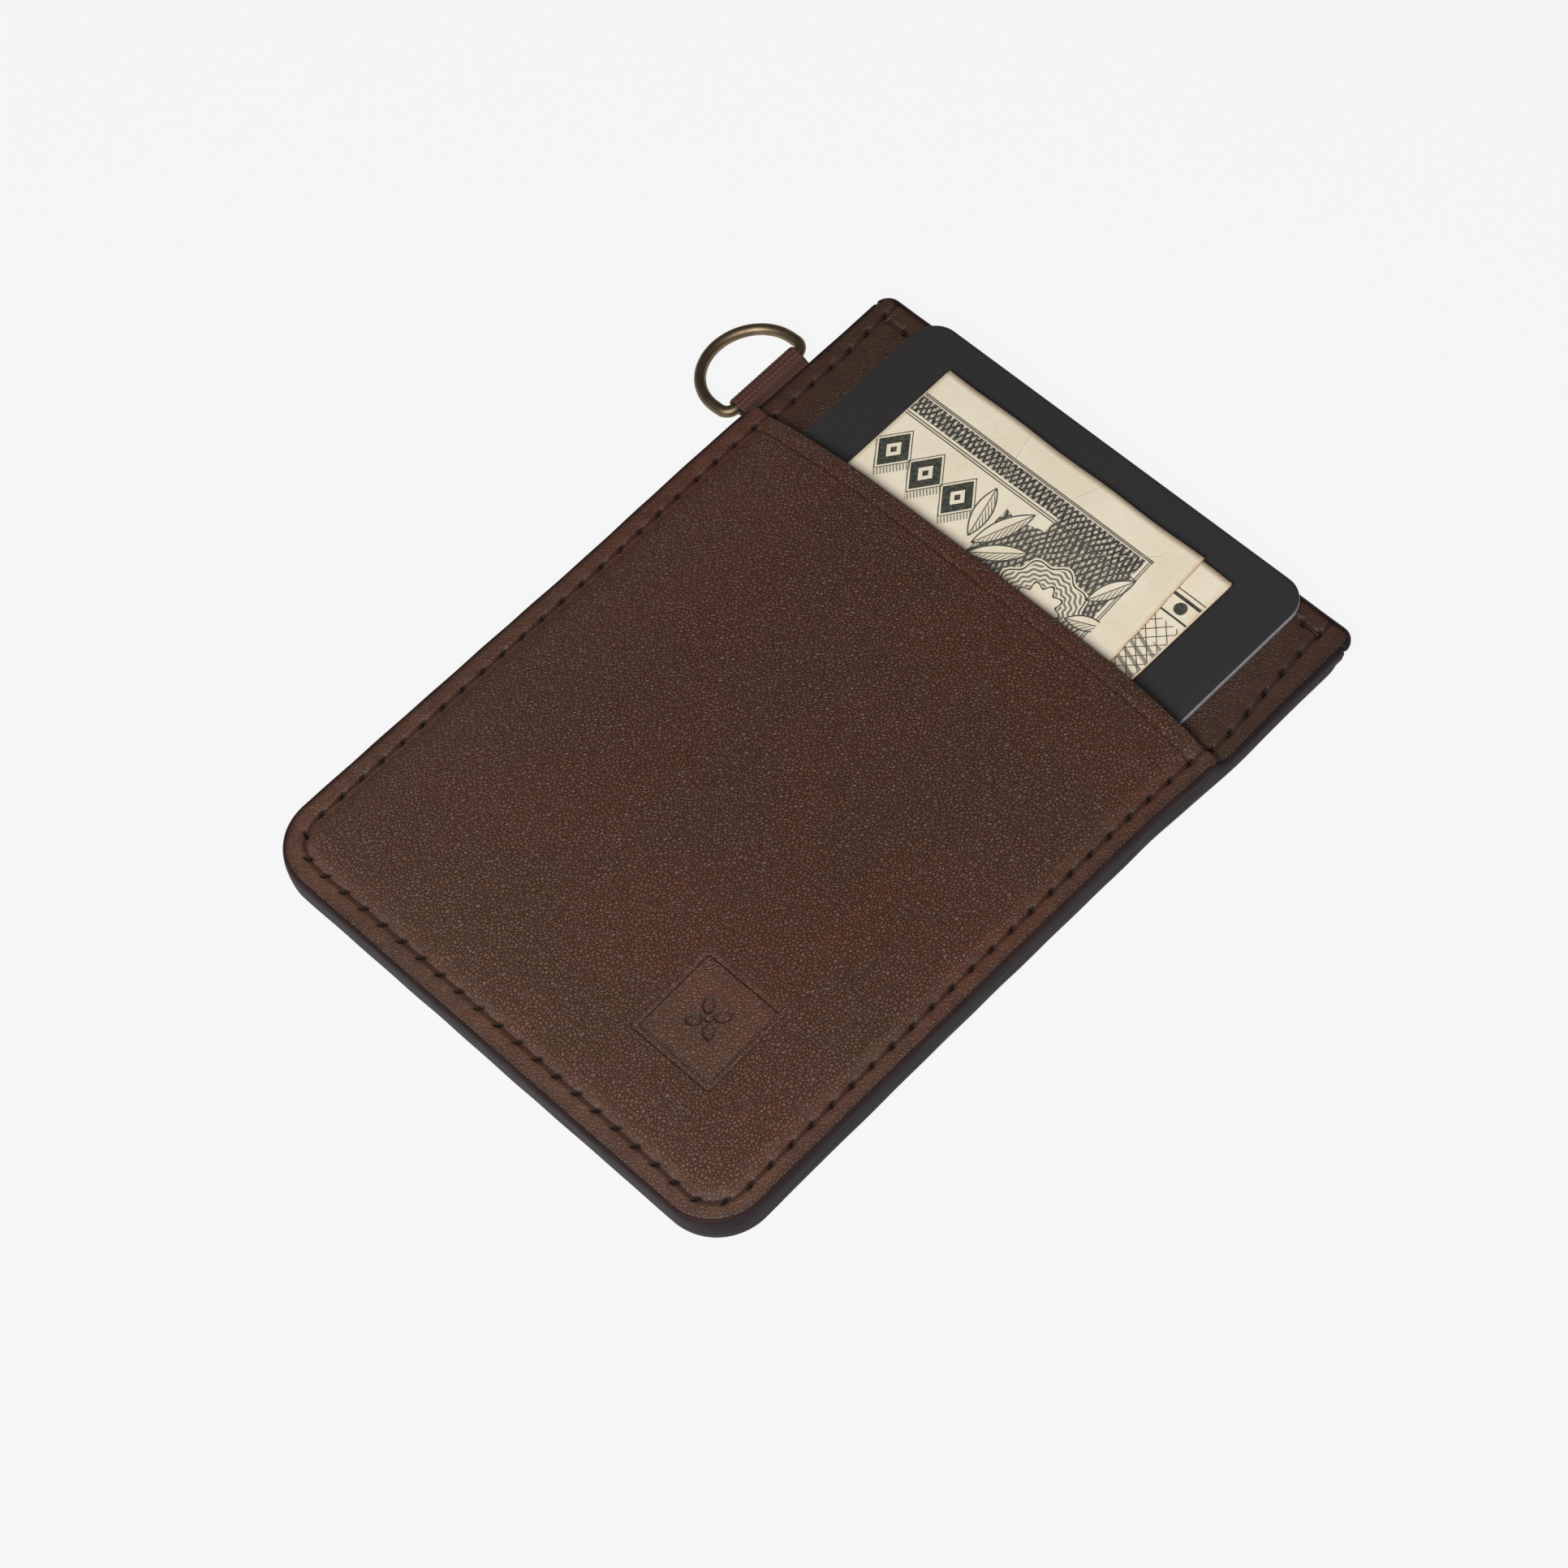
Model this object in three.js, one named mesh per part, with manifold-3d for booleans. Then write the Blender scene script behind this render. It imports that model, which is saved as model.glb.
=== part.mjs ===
// A slim leather card wallet, lying on its back with the front pocket up.
//
// Millimetres, +Z up. The origin is the middle of the flat back face. +X runs across the wallet,
// +Y runs towards the pocket opening, and +Z comes out of the front face. The webbing tab and its
// D-ring stand out of the -X edge, near the top.
//
// From the back upwards: back main panel, back lining, the centre pocket (empty, so closed flat),
// front lining, front main panel, then a card and a folded note, and the front pocket panel over
// them. A coat of edge paint closes the rim, and one perimeter seam holds every layer.

import * as THREE from "three";
import { mergeVertices } from "three/addons/utils/BufferGeometryUtils.js";
import Module from "manifold-3d";

const wasm = await Module();
wasm.setup();

// ---- Outline ----
const WIDTH = 67.0;
const HEIGHT = 91.6;
const BOTTOM_RADIUS = 6.5;
const TOP_RADIUS = 1.8;
const BACK_TOP_RADIUS = 4.5; // the back half turns its top corners wider than the front half
const SMALLEST_RADIUS = 0.3;
const HALF_WIDTH = WIDTH / 2;
const HALF_HEIGHT = HEIGHT / 2;

// ---- Layers ----
const LEATHER = 1.1;
const LINING = 0.25;
const GLUE_LINE = 0.03;
const CENTRE_POCKET_GAP = 0.15;
const LOOSE_GAP = 0.05;
const PAINT = 0.35;
const PAINT_SET_BACK = 0.1;
const PANEL_INSET = PAINT + GLUE_LINE;
const LINING_INSET = 0.6;

const BACK_LINING_Z = LEATHER + GLUE_LINE;
const BACK_HALF_TOP = BACK_LINING_Z + LINING;
const FRONT_LINING_Z = BACK_HALF_TOP + CENTRE_POCKET_GAP;
const FRONT_MAIN_Z = FRONT_LINING_Z + LINING + GLUE_LINE;
const FRONT_MAIN_TOP = FRONT_MAIN_Z + LEATHER;
const POCKET_PANEL_Z = FRONT_MAIN_TOP + GLUE_LINE;
const RIM_TOP = POCKET_PANEL_Z + LEATHER;

// ---- Front pocket ----
const LIP_Y = 25.8; // the lip where it meets the side edges
const LIP_BOW = 0.5; // how much higher the lip is in the middle
const SEAM_WIDTH = 3.2; // sewn border that stays flat
const CROWN = 2.2; // how far the contents lift the pocket panel
const CROWN_RUN = 4.8; // distance over which the panel rises from its seam
const CROWN_BLEND = 4; // how squarely the side and bottom slopes meet
const STAMP = { x: 16.2, y: -29.3, outer: 11.3, inner: 9.95, depth: 0.35 };

// ---- Seams ----
const SEAM_INSET = 2.5;
const THREAD_WIDTH = 0.5;
const THREAD_HEIGHT = 0.35;
const GROOVE_WIDTH = 0.6;
const GROOVE_DEPTH = 0.42;
const THREAD_SINK = 0.05;
const TOP_SEAM_END = HALF_WIDTH - SEAM_INSET - THREAD_WIDTH;
const SIDE_SEAM_TOP = HALF_HEIGHT - SEAM_INSET - THREAD_WIDTH;
const SIDE_PAINT_TOP = HALF_HEIGHT - 2.15;
const TOP_PAINT_START = SIDE_PAINT_TOP + LOOSE_GAP;

// ---- Card (ID-1) and folded note ----
const CARD = { width: 53.98, height: 85.6, thick: 0.76, radius: 3.18, x: 0.15, top: 46.2 };
const NOTE = { left: -20.1, right: 20.25, top: 41.9, height: 66.2 };
const NOTE_FRONT_RIGHT = 16.8; // the free edge of the front leaf
const NOTE_BACK_RIGHT = 19.3; // the free edge of the hindmost leaf
const PAPER = 0.12;
const LEAF_PITCH = 0.2;
const CARD_Z = FRONT_MAIN_TOP + LOOSE_GAP;
const NOTE_Z = CARD_Z + CARD.thick + LOOSE_GAP;

// ---- Tab and D-ring ----
const WIRE_RADIUS = 0.65;
const RING_INNER_WIDTH = 9.7;
const RING_DEPTH = 7.9; // bar axis to the middle of the bow, on the wire's axis
const RING_CORNER = 1.2;
const RING_BUTT_GAP = 0.2;
const BAR_X = -35.75;
const BAR_Z = (LEATHER + FRONT_MAIN_Z) / 2;
const TAB_Y = 29.6;
const TAB_WIDTH = 9.2;
const WEBBING = 0.32;
const PLY_OFFSET = 0.175;
const TAB_TAIL_X = -29.9;
const TAB_WINDOW = { x: -29.6, halfWidth: TAB_WIDTH / 2 + 0.25 };
const BAR_CLEARANCE = 0.1;
const LOOP_MOUTH = 52; // degrees either side of the loop's mouth

const CURVE_STEPS = 8;
const SECTION_SIDES = 10;
const LOOP_STEPS = 10;
const FOLD_STEPS = 4;
const SLIVER = 0.004;

// ---- Materials ----
const leather = new THREE.MeshStandardMaterial({ color: 0x523a2e, roughness: 0.62, metalness: 0 });
const lining = new THREE.MeshStandardMaterial({ color: 0x2c2623, roughness: 0.9, metalness: 0 });
const paint = new THREE.MeshStandardMaterial({ color: 0x2f2828, roughness: 0.35, metalness: 0 });
const thread = new THREE.MeshStandardMaterial({ color: 0x382620, roughness: 0.8, metalness: 0 });
const webbing = new THREE.MeshStandardMaterial({ color: 0x4a2c22, roughness: 0.85, metalness: 0 });
const brass = new THREE.MeshStandardMaterial({ color: 0x8a7350, roughness: 0.38, metalness: 1 });
const plastic = new THREE.MeshStandardMaterial({ color: 0x2d2c2e, roughness: 0.45, metalness: 0 });
const paper = new THREE.MeshStandardMaterial({ color: 0xe6dcc6, roughness: 0.9, metalness: 0 });

const wallet = new THREE.Group();

// ---- Helpers ----

// A closed geometry as a manifold solid.
function solid(geometry) {
  const plain = geometry.clone();
  plain.deleteAttribute("normal");
  plain.deleteAttribute("uv");
  const merged = mergeVertices(plain, 1e-4);
  return new wasm.Manifold(
    new wasm.Mesh({
      numProp: 3,
      vertProperties: merged.attributes.position.array,
      triVerts: new Uint32Array(merged.index.array),
    }),
  );
}

// A manifold solid as a geometry.
function geometryOf(made) {
  const mesh = made.getMesh();
  const geometry = new THREE.BufferGeometry();
  geometry.setAttribute("position", new THREE.BufferAttribute(mesh.vertProperties, 3));
  geometry.setIndex(new THREE.BufferAttribute(mesh.triVerts, 1));
  geometry.computeVertexNormals();
  return geometry;
}

function addPiece(name, geometry, material, parent = wallet) {
  const mesh = new THREE.Mesh(geometry, material);
  mesh.name = name;
  parent.add(mesh);
  return mesh;
}

// A box between two corners, as a solid.
function block(low, high) {
  const size = high.map((value, axis) => value - low[axis]);
  const box = new THREE.BoxGeometry(...size);
  box.translate(...low.map((value, axis) => value + size[axis] / 2));
  return solid(box);
}

// The wallet's outline moved inwards by inset, as a path with rounded corners.
function traceOutline(path, inset, topRadius) {
  const x = HALF_WIDTH - inset;
  const y = HALF_HEIGHT - inset;
  const bottom = BOTTOM_RADIUS - inset;
  const top = Math.max(topRadius - inset, SMALLEST_RADIUS);
  path.moveTo(bottom - x, -y);
  path.lineTo(x - bottom, -y);
  path.absarc(x - bottom, bottom - y, bottom, -Math.PI / 2, 0, false);
  path.lineTo(x, y - top);
  path.absarc(x - top, y - top, top, 0, Math.PI / 2, false);
  path.lineTo(top - x, y);
  path.absarc(top - x, y - top, top, Math.PI / 2, Math.PI, false);
  path.lineTo(-x, bottom - y);
  path.absarc(bottom - x, bottom - y, bottom, Math.PI, 1.5 * Math.PI, false);
  return path;
}

function extrude(shape, low, high) {
  const geometry = new THREE.ExtrudeGeometry(shape, {
    depth: high - low,
    bevelEnabled: false,
    curveSegments: CURVE_STEPS,
  });
  geometry.translate(0, 0, low);
  return geometry;
}

// A flat layer in the shape of the outline.
function layer(inset, topRadius, low, high) {
  return solid(extrude(traceOutline(new THREE.Shape(), inset, topRadius), low, high));
}

// A band that follows the outline between two insets.
function band(outerInset, innerInset, topRadius, low, high) {
  const shape = traceOutline(new THREE.Shape(), outerInset, topRadius);
  shape.holes.push(traceOutline(new THREE.Path(), innerInset, topRadius));
  return solid(extrude(shape, low, high));
}

// A block over the whole wallet between two Y values, for cutting bands.
function acrossY(from, to) {
  return block([-WIDTH, from, -HEIGHT], [WIDTH, to, HEIGHT]);
}

function lipAt(x) {
  return LIP_Y + LIP_BOW * (1 - (x / HALF_WIDTH) ** 2);
}

const THREAD_X = HALF_WIDTH - SEAM_INSET;
const LIP_AT_THREAD = lipAt(THREAD_X);

// ---- Seam bands: the grooves pressed in the leather, and the thread that lies in them ----

function seamBand(width, low, high) {
  return band(SEAM_INSET - width / 2, SEAM_INSET + width / 2, TOP_RADIUS, low, high);
}

function perimeterGroove(low, high) {
  return seamBand(GROOVE_WIDTH, low, high).intersect(acrossY(-HEIGHT, SIDE_SEAM_TOP + LOOSE_GAP));
}

function topRow(width, end, low, high) {
  const y = HALF_HEIGHT - SEAM_INSET;
  return block([-end, y - width / 2, low], [end, y + width / 2, high]);
}

function topGroove(low, high) {
  return topRow(GROOVE_WIDTH, TOP_SEAM_END + LOOSE_GAP, low, high);
}

function topThread(low) {
  return topRow(THREAD_WIDTH, TOP_SEAM_END, low, low + THREAD_HEIGHT);
}

const BACK_THREAD_Z = THREAD_SINK;
const UPPER_THREAD_Z = FRONT_MAIN_TOP - THREAD_SINK - THREAD_HEIGHT;
const LOWER_THREAD_Z = RIM_TOP - THREAD_SINK - THREAD_HEIGHT;

// The needle thread runs on the pocket panel, then steps down over the lip to the main panel.
function needleThread() {
  const stepStart = LIP_AT_THREAD + LOOSE_GAP;
  const stepEnd = stepStart + THREAD_HEIGHT;
  const onPocket = seamBand(THREAD_WIDTH, LOWER_THREAD_Z, LOWER_THREAD_Z + THREAD_HEIGHT);
  const onMain = seamBand(THREAD_WIDTH, UPPER_THREAD_Z, UPPER_THREAD_Z + THREAD_HEIGHT);
  const steps = seamBand(THREAD_WIDTH, UPPER_THREAD_Z, LOWER_THREAD_Z + THREAD_HEIGHT);
  return onPocket
    .intersect(acrossY(-HEIGHT, stepEnd))
    .add(onMain.intersect(acrossY(stepStart, SIDE_SEAM_TOP)))
    .add(steps.intersect(acrossY(stepStart, stepEnd)));
}

function bobbinThread() {
  const whole = seamBand(THREAD_WIDTH, BACK_THREAD_Z, BACK_THREAD_Z + THREAD_HEIGHT);
  return whole.intersect(acrossY(-HEIGHT, SIDE_SEAM_TOP));
}

// ---- Leather panels and linings ----

function backMainPanel() {
  return layer(PANEL_INSET, BACK_TOP_RADIUS, 0, LEATHER)
    .subtract(perimeterGroove(-GROOVE_DEPTH, GROOVE_DEPTH))
    .subtract(topGroove(-GROOVE_DEPTH, GROOVE_DEPTH));
}

function frontMainPanel() {
  const grooveZ = FRONT_MAIN_TOP - GROOVE_DEPTH;
  const grooveTop = FRONT_MAIN_TOP + GROOVE_DEPTH;
  const upper = perimeterGroove(grooveZ, grooveTop).intersect(acrossY(LIP_AT_THREAD, HEIGHT));
  return layer(PANEL_INSET, TOP_RADIUS, FRONT_MAIN_Z, FRONT_MAIN_TOP)
    .subtract(upper)
    .subtract(topGroove(grooveZ, grooveTop));
}

// A lining, cut away on the left where the webbing tab's tail is sewn in.
function liningLayer(low) {
  const { x, halfWidth } = TAB_WINDOW;
  const window = block([-WIDTH, TAB_Y - halfWidth, -HEIGHT], [x, TAB_Y + halfWidth, HEIGHT]);
  return layer(LINING_INSET, BACK_TOP_RADIUS, low, low + LINING).subtract(window);
}

// How far the pocket panel stands above its flat border.
function crown(x, y) {
  const fromSide = Math.max(0, HALF_WIDTH - SEAM_WIDTH - Math.abs(x));
  const fromBottom = Math.max(0, y + HALF_HEIGHT - SEAM_WIDTH);
  const side = Math.exp(-fromSide / CROWN_RUN) ** CROWN_BLEND;
  const bottom = Math.exp(-fromBottom / CROWN_RUN) ** CROWN_BLEND;
  return CROWN * Math.max(0, 1 - (side + bottom) ** (1 / CROWN_BLEND));
}

// The rows of the pocket panel from its bottom edge to its lip: first the rounded corners.
function pocketRows() {
  const cornerRows = 6;
  const straightRows = 20;
  const halfWidth = HALF_WIDTH - PANEL_INSET;
  const bottom = PANEL_INSET - HALF_HEIGHT;
  const radius = BOTTOM_RADIUS - PANEL_INSET;
  const rows = [];
  for (let i = 0; i < cornerRows; i++) {
    const turn = ((i / cornerRows) * Math.PI) / 2;
    const y = bottom + radius * (1 - Math.cos(turn));
    rows.push({ half: halfWidth - radius + radius * Math.sin(turn), at: () => y });
  }
  for (let i = 0; i <= straightRows; i++) {
    const share = i / straightRows;
    const start = bottom + radius;
    rows.push({ half: halfWidth, at: (x) => start + (lipAt(x) - start) * share });
  }
  return rows;
}

// The front pocket panel: a sheet of leather lifted by what it holds, flat along its seam.
function pocketSheet() {
  const columns = 22;
  const spread = 0.85;
  const rows = pocketRows();
  const positions = [];
  const indices = [];
  const across = columns + 1;
  for (const level of [0, LEATHER]) {
    for (const row of rows) {
      for (let c = 0; c <= columns; c++) {
        const even = (2 * c) / columns - 1;
        const side = Math.sin((even * spread * Math.PI) / 2) / Math.sin((spread * Math.PI) / 2);
        const x = row.half * side;
        const y = row.at(x);
        positions.push(x, y, POCKET_PANEL_Z + level + crown(x, y));
      }
    }
  }
  const layerSize = rows.length * across;
  const quad = (a, b, c, d) => indices.push(a, b, c, a, c, d);
  for (let r = 0; r + 1 < rows.length; r++) {
    for (let c = 0; c < columns; c++) {
      const a = r * across + c;
      quad(layerSize + a, layerSize + a + 1, layerSize + a + across + 1, layerSize + a + across);
      quad(a, a + across, a + across + 1, a + 1);
    }
    const left = r * across;
    const right = left + columns;
    quad(left, layerSize + left, layerSize + left + across, left + across);
    quad(right, right + across, layerSize + right + across, layerSize + right);
  }
  const lip = (rows.length - 1) * across;
  for (let c = 0; c < columns; c++) {
    quad(c, c + 1, layerSize + c + 1, layerSize + c);
    quad(lip + c, layerSize + lip + c, layerSize + lip + c + 1, lip + c + 1);
  }
  const geometry = new THREE.BufferGeometry();
  geometry.setAttribute("position", new THREE.Float32BufferAttribute(positions, 3));
  geometry.setIndex(indices);
  return solid(geometry);
}

function square(path, size) {
  const half = size / 2;
  path.moveTo(-half, -half);
  path.lineTo(half, -half);
  path.lineTo(half, half);
  path.lineTo(-half, half);
  path.closePath();
  return path;
}

// The blind-stamped frame: a square groove in the pocket panel.
function stampGroove() {
  const surface = RIM_TOP + crown(STAMP.x, STAMP.y);
  const shape = square(new THREE.Shape(), STAMP.outer);
  shape.holes.push(square(new THREE.Path(), STAMP.inner));
  const geometry = extrude(shape, surface - STAMP.depth, surface + CROWN);
  geometry.translate(STAMP.x, STAMP.y, 0);
  return solid(geometry);
}

// The cuts leave slivers between the sheet's facets, which are merged away.
function frontPocketPanel() {
  return pocketSheet()
    .subtract(perimeterGroove(RIM_TOP - GROOVE_DEPTH, RIM_TOP + GROOVE_DEPTH))
    .subtract(stampGroove())
    .simplify(SLIVER);
}

// ---- Edge paint ----

function paintBand(topRadius, low, high) {
  return band(0, PAINT, topRadius, low, high);
}

// The coat round the sewn sides and bottom, lower above the lip, with a slot for the webbing tab.
function sideEdgePaint() {
  const { halfWidth } = TAB_WINDOW;
  const backHalf = paintBand(BACK_TOP_RADIUS, PAINT_SET_BACK, BACK_HALF_TOP);
  const frontHalf = paintBand(TOP_RADIUS, BACK_HALF_TOP, FRONT_MAIN_TOP - PAINT_SET_BACK);
  const pocket = paintBand(TOP_RADIUS, BACK_HALF_TOP, RIM_TOP - PAINT_SET_BACK);
  const slot = block(
    [-WIDTH, TAB_Y - halfWidth, LEATHER - LOOSE_GAP],
    [-HALF_WIDTH + 2 * PAINT, TAB_Y + halfWidth, FRONT_MAIN_Z + LOOSE_GAP],
  );
  return backHalf
    .add(frontHalf)
    .intersect(acrossY(-HEIGHT, SIDE_PAINT_TOP))
    .add(pocket.intersect(acrossY(-HEIGHT, LIP_Y)))
    .subtract(slot);
}

function topEdgePaint(topRadius, low, high) {
  return paintBand(topRadius, low, high).intersect(acrossY(TOP_PAINT_START, HEIGHT));
}

// ---- Card and note ----

function cardGeometry() {
  const { width, height, thick, radius, x, top } = CARD;
  const shape = new THREE.Shape();
  const right = x + width / 2;
  const left = x - width / 2;
  const bottom = top - height;
  shape.moveTo(left + radius, bottom);
  shape.lineTo(right - radius, bottom);
  shape.absarc(right - radius, bottom + radius, radius, -Math.PI / 2, 0, false);
  shape.lineTo(right, top - radius);
  shape.absarc(right - radius, top - radius, radius, 0, Math.PI / 2, false);
  shape.lineTo(left + radius, top);
  shape.absarc(left + radius, top - radius, radius, Math.PI / 2, Math.PI, false);
  shape.lineTo(left, bottom + radius);
  shape.absarc(left + radius, bottom + radius, radius, Math.PI, 1.5 * Math.PI, false);
  return extrude(shape, CARD_Z, CARD_Z + thick);
}

// A strip of the given thickness along a line of points, as a closed shape.
function strip(points, thickness) {
  const half = thickness / 2;
  const sides = [[], []];
  points.forEach((point, i) => {
    const before = points[Math.max(i - 1, 0)];
    const after = points[Math.min(i + 1, points.length - 1)];
    const along = after.clone().sub(before).normalize();
    const normal = new THREE.Vector2(-along.y, along.x);
    const incoming = point.clone().sub(before);
    const outgoing = after.clone().sub(point);
    const bend = Math.abs(incoming.angle() - outgoing.angle());
    const inner = i > 0 && i < points.length - 1 ? Math.cos(bend / 2) : 1;
    const reach = half / Math.max(Math.abs(inner), Math.SQRT1_2);
    sides[0].push(point.clone().addScaledVector(normal, reach));
    sides[1].push(point.clone().addScaledVector(normal, -reach));
  });
  return new THREE.Shape([...sides[1], ...sides[0].reverse()]);
}

function arcPoints(centre, radius, from, to, steps) {
  const points = [];
  for (let i = 0; i <= steps; i++) {
    const turn = from + ((to - from) * i) / steps;
    const offset = new THREE.Vector2(Math.cos(turn), Math.sin(turn)).multiplyScalar(radius);
    points.push(centre.clone().add(offset));
  }
  return points;
}

// A shape drawn in X and Z, run along Y between two values.
function runAlongY(shape, from, to) {
  const geometry = new THREE.ExtrudeGeometry(shape, { depth: to - from, bevelEnabled: false });
  geometry.rotateX(Math.PI / 2);
  geometry.translate(0, to, 0);
  return geometry;
}

// The note, folded lengthwise in a zigzag of four leaves. The front leaf is the narrowest.
function noteGeometry() {
  const radius = LEAF_PITCH / 2;
  const leafZ = (leaf) => NOTE_Z + PAPER / 2 + leaf * LEAF_PITCH;
  const leftFold = (leaf) =>
    arcPoints(
      new THREE.Vector2(NOTE.left + radius, leafZ(leaf) + radius),
      radius,
      -Math.PI / 2,
      (-3 * Math.PI) / 2,
      FOLD_STEPS,
    );
  const rightFold = (leaf) =>
    arcPoints(
      new THREE.Vector2(NOTE.right - radius, leafZ(leaf) + radius),
      radius,
      -Math.PI / 2,
      Math.PI / 2,
      FOLD_STEPS,
    );
  const points = [
    new THREE.Vector2(NOTE_BACK_RIGHT, leafZ(0)),
    ...leftFold(0),
    ...rightFold(1),
    ...leftFold(2),
    new THREE.Vector2(NOTE_FRONT_RIGHT, leafZ(3)),
  ];
  return runAlongY(strip(points, PAPER), NOTE.top - NOTE.height, NOTE.top);
}

// ---- Webbing tab and D-ring ----

// The tab: two plies sewn flat together, which open into a loop round the ring's bar.
function tabGeometry() {
  const loopRadius = WIRE_RADIUS + BAR_CLEARANCE + WEBBING / 2;
  const opening = THREE.MathUtils.degToRad(LOOP_MOUTH);
  const bar = new THREE.Vector2(BAR_X, BAR_Z);
  const neckX = BAR_X + 2 * loopRadius;
  const loop = arcPoints(bar, loopRadius, -opening, opening - 2 * Math.PI, LOOP_STEPS);
  const points = [
    new THREE.Vector2(TAB_TAIL_X, BAR_Z - PLY_OFFSET),
    new THREE.Vector2(neckX, BAR_Z - PLY_OFFSET),
    ...loop,
    new THREE.Vector2(neckX, BAR_Z + PLY_OFFSET),
    new THREE.Vector2(TAB_TAIL_X, BAR_Z + PLY_OFFSET),
  ];
  const from = TAB_Y - TAB_WIDTH / 2;
  const to = TAB_Y + TAB_WIDTH / 2;
  const sewn = block([neckX, from, BAR_Z - PLY_OFFSET], [TAB_TAIL_X, to, BAR_Z + PLY_OFFSET]);
  return geometryOf(solid(runAlongY(strip(points, WEBBING), from, to)).add(sewn));
}

// The D-ring about its bar: two straight legs and a half-round bow, butted in mid-bar.
function ringGeometry() {
  const half = RING_INNER_WIDTH / 2 + WIRE_RADIUS;
  const bowX = half - RING_DEPTH;
  const line = new THREE.Path();
  line.moveTo(0, RING_BUTT_GAP / 2);
  line.lineTo(0, half - RING_CORNER);
  line.absarc(-RING_CORNER, half - RING_CORNER, RING_CORNER, 0, Math.PI / 2, false);
  line.lineTo(bowX, half);
  line.absarc(bowX, 0, half, Math.PI / 2, 1.5 * Math.PI, false);
  line.lineTo(-RING_CORNER, -half);
  line.absarc(-RING_CORNER, RING_CORNER - half, RING_CORNER, -Math.PI / 2, 0, false);
  line.lineTo(0, -RING_BUTT_GAP / 2);
  const steps = 64;
  const points = line.getSpacedPoints(steps).map((point) => new THREE.Vector3(point.x, point.y, 0));
  const section = new THREE.Shape(
    arcPoints(new THREE.Vector2(), WIRE_RADIUS, 0, 2 * Math.PI, SECTION_SIDES).slice(0, -1),
  );
  return new THREE.ExtrudeGeometry(section, {
    steps,
    extrudePath: new THREE.CatmullRomCurve3(points, false, "centripetal"),
  });
}

// ---- Assembly ----

addPiece("back_main_panel", geometryOf(backMainPanel()), leather);
addPiece("back_lining", geometryOf(liningLayer(BACK_LINING_Z)), lining);
addPiece("front_lining", geometryOf(liningLayer(FRONT_LINING_Z)), lining);
addPiece("front_main_panel", geometryOf(frontMainPanel()), leather);
addPiece("front_pocket_panel", geometryOf(frontPocketPanel()), leather);

addPiece("side_edge_paint", geometryOf(sideEdgePaint()), paint);
addPiece(
  "front_top_edge_paint",
  geometryOf(topEdgePaint(TOP_RADIUS, FRONT_LINING_Z, FRONT_MAIN_TOP - PAINT_SET_BACK)),
  paint,
);
addPiece(
  "back_top_edge_paint",
  geometryOf(topEdgePaint(BACK_TOP_RADIUS, PAINT_SET_BACK, BACK_HALF_TOP)),
  paint,
);

addPiece("needle_thread", geometryOf(needleThread()), thread);
addPiece("bobbin_thread", geometryOf(bobbinThread()), thread);
addPiece("front_top_thread", geometryOf(topThread(UPPER_THREAD_Z)), thread);
addPiece("back_top_thread", geometryOf(topThread(BACK_THREAD_Z)), thread);

addPiece("charcoal_card", cardGeometry(), plastic);
addPiece("folded_banknote", noteGeometry(), paper);
addPiece("ring_tab", tabGeometry(), webbing);

// The ring hangs on its bar and rests on its bow, so it tilts down a little from the tab.
const ring = new THREE.Group();
ring.position.set(BAR_X, TAB_Y, BAR_Z);
ring.rotation.y = -Math.asin((BAR_Z - WIRE_RADIUS - LOOSE_GAP) / RING_DEPTH);
addPiece("d_ring", ringGeometry(), brass, ring);
wallet.add(ring);

export default wallet;
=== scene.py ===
"""The looks of the slim leather card wallet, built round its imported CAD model.

Lengths here are millimetres until a mesh is made, which turns them into metres. The frame is the
CAD one: +X across the wallet, +Y towards the pocket opening, +Z out of the front.
"""

import bpy
import math
from functools import partialmethod
import numpy as np
from mathutils import Matrix, Vector
from mathutils.geometry import delaunay_2d_cdt


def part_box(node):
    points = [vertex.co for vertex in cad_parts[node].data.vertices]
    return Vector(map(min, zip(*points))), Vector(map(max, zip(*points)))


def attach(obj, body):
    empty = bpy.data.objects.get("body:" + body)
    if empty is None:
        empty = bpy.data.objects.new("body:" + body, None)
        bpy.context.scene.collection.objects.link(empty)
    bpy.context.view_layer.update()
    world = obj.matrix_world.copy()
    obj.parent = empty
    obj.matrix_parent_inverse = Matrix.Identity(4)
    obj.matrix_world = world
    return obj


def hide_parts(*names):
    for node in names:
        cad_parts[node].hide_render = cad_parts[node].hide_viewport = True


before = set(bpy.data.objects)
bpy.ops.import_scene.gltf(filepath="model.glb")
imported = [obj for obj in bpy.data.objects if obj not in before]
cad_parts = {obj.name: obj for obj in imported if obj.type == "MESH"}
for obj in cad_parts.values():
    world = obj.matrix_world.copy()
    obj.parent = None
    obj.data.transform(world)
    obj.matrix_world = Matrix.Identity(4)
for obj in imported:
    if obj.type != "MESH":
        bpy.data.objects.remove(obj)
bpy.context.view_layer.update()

MM = 0.001


def cad(node):
    """The lowest and highest corner of a CAD node, in millimetres."""
    low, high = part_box(node)
    return np.array(low) / MM, np.array(high) / MM


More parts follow.
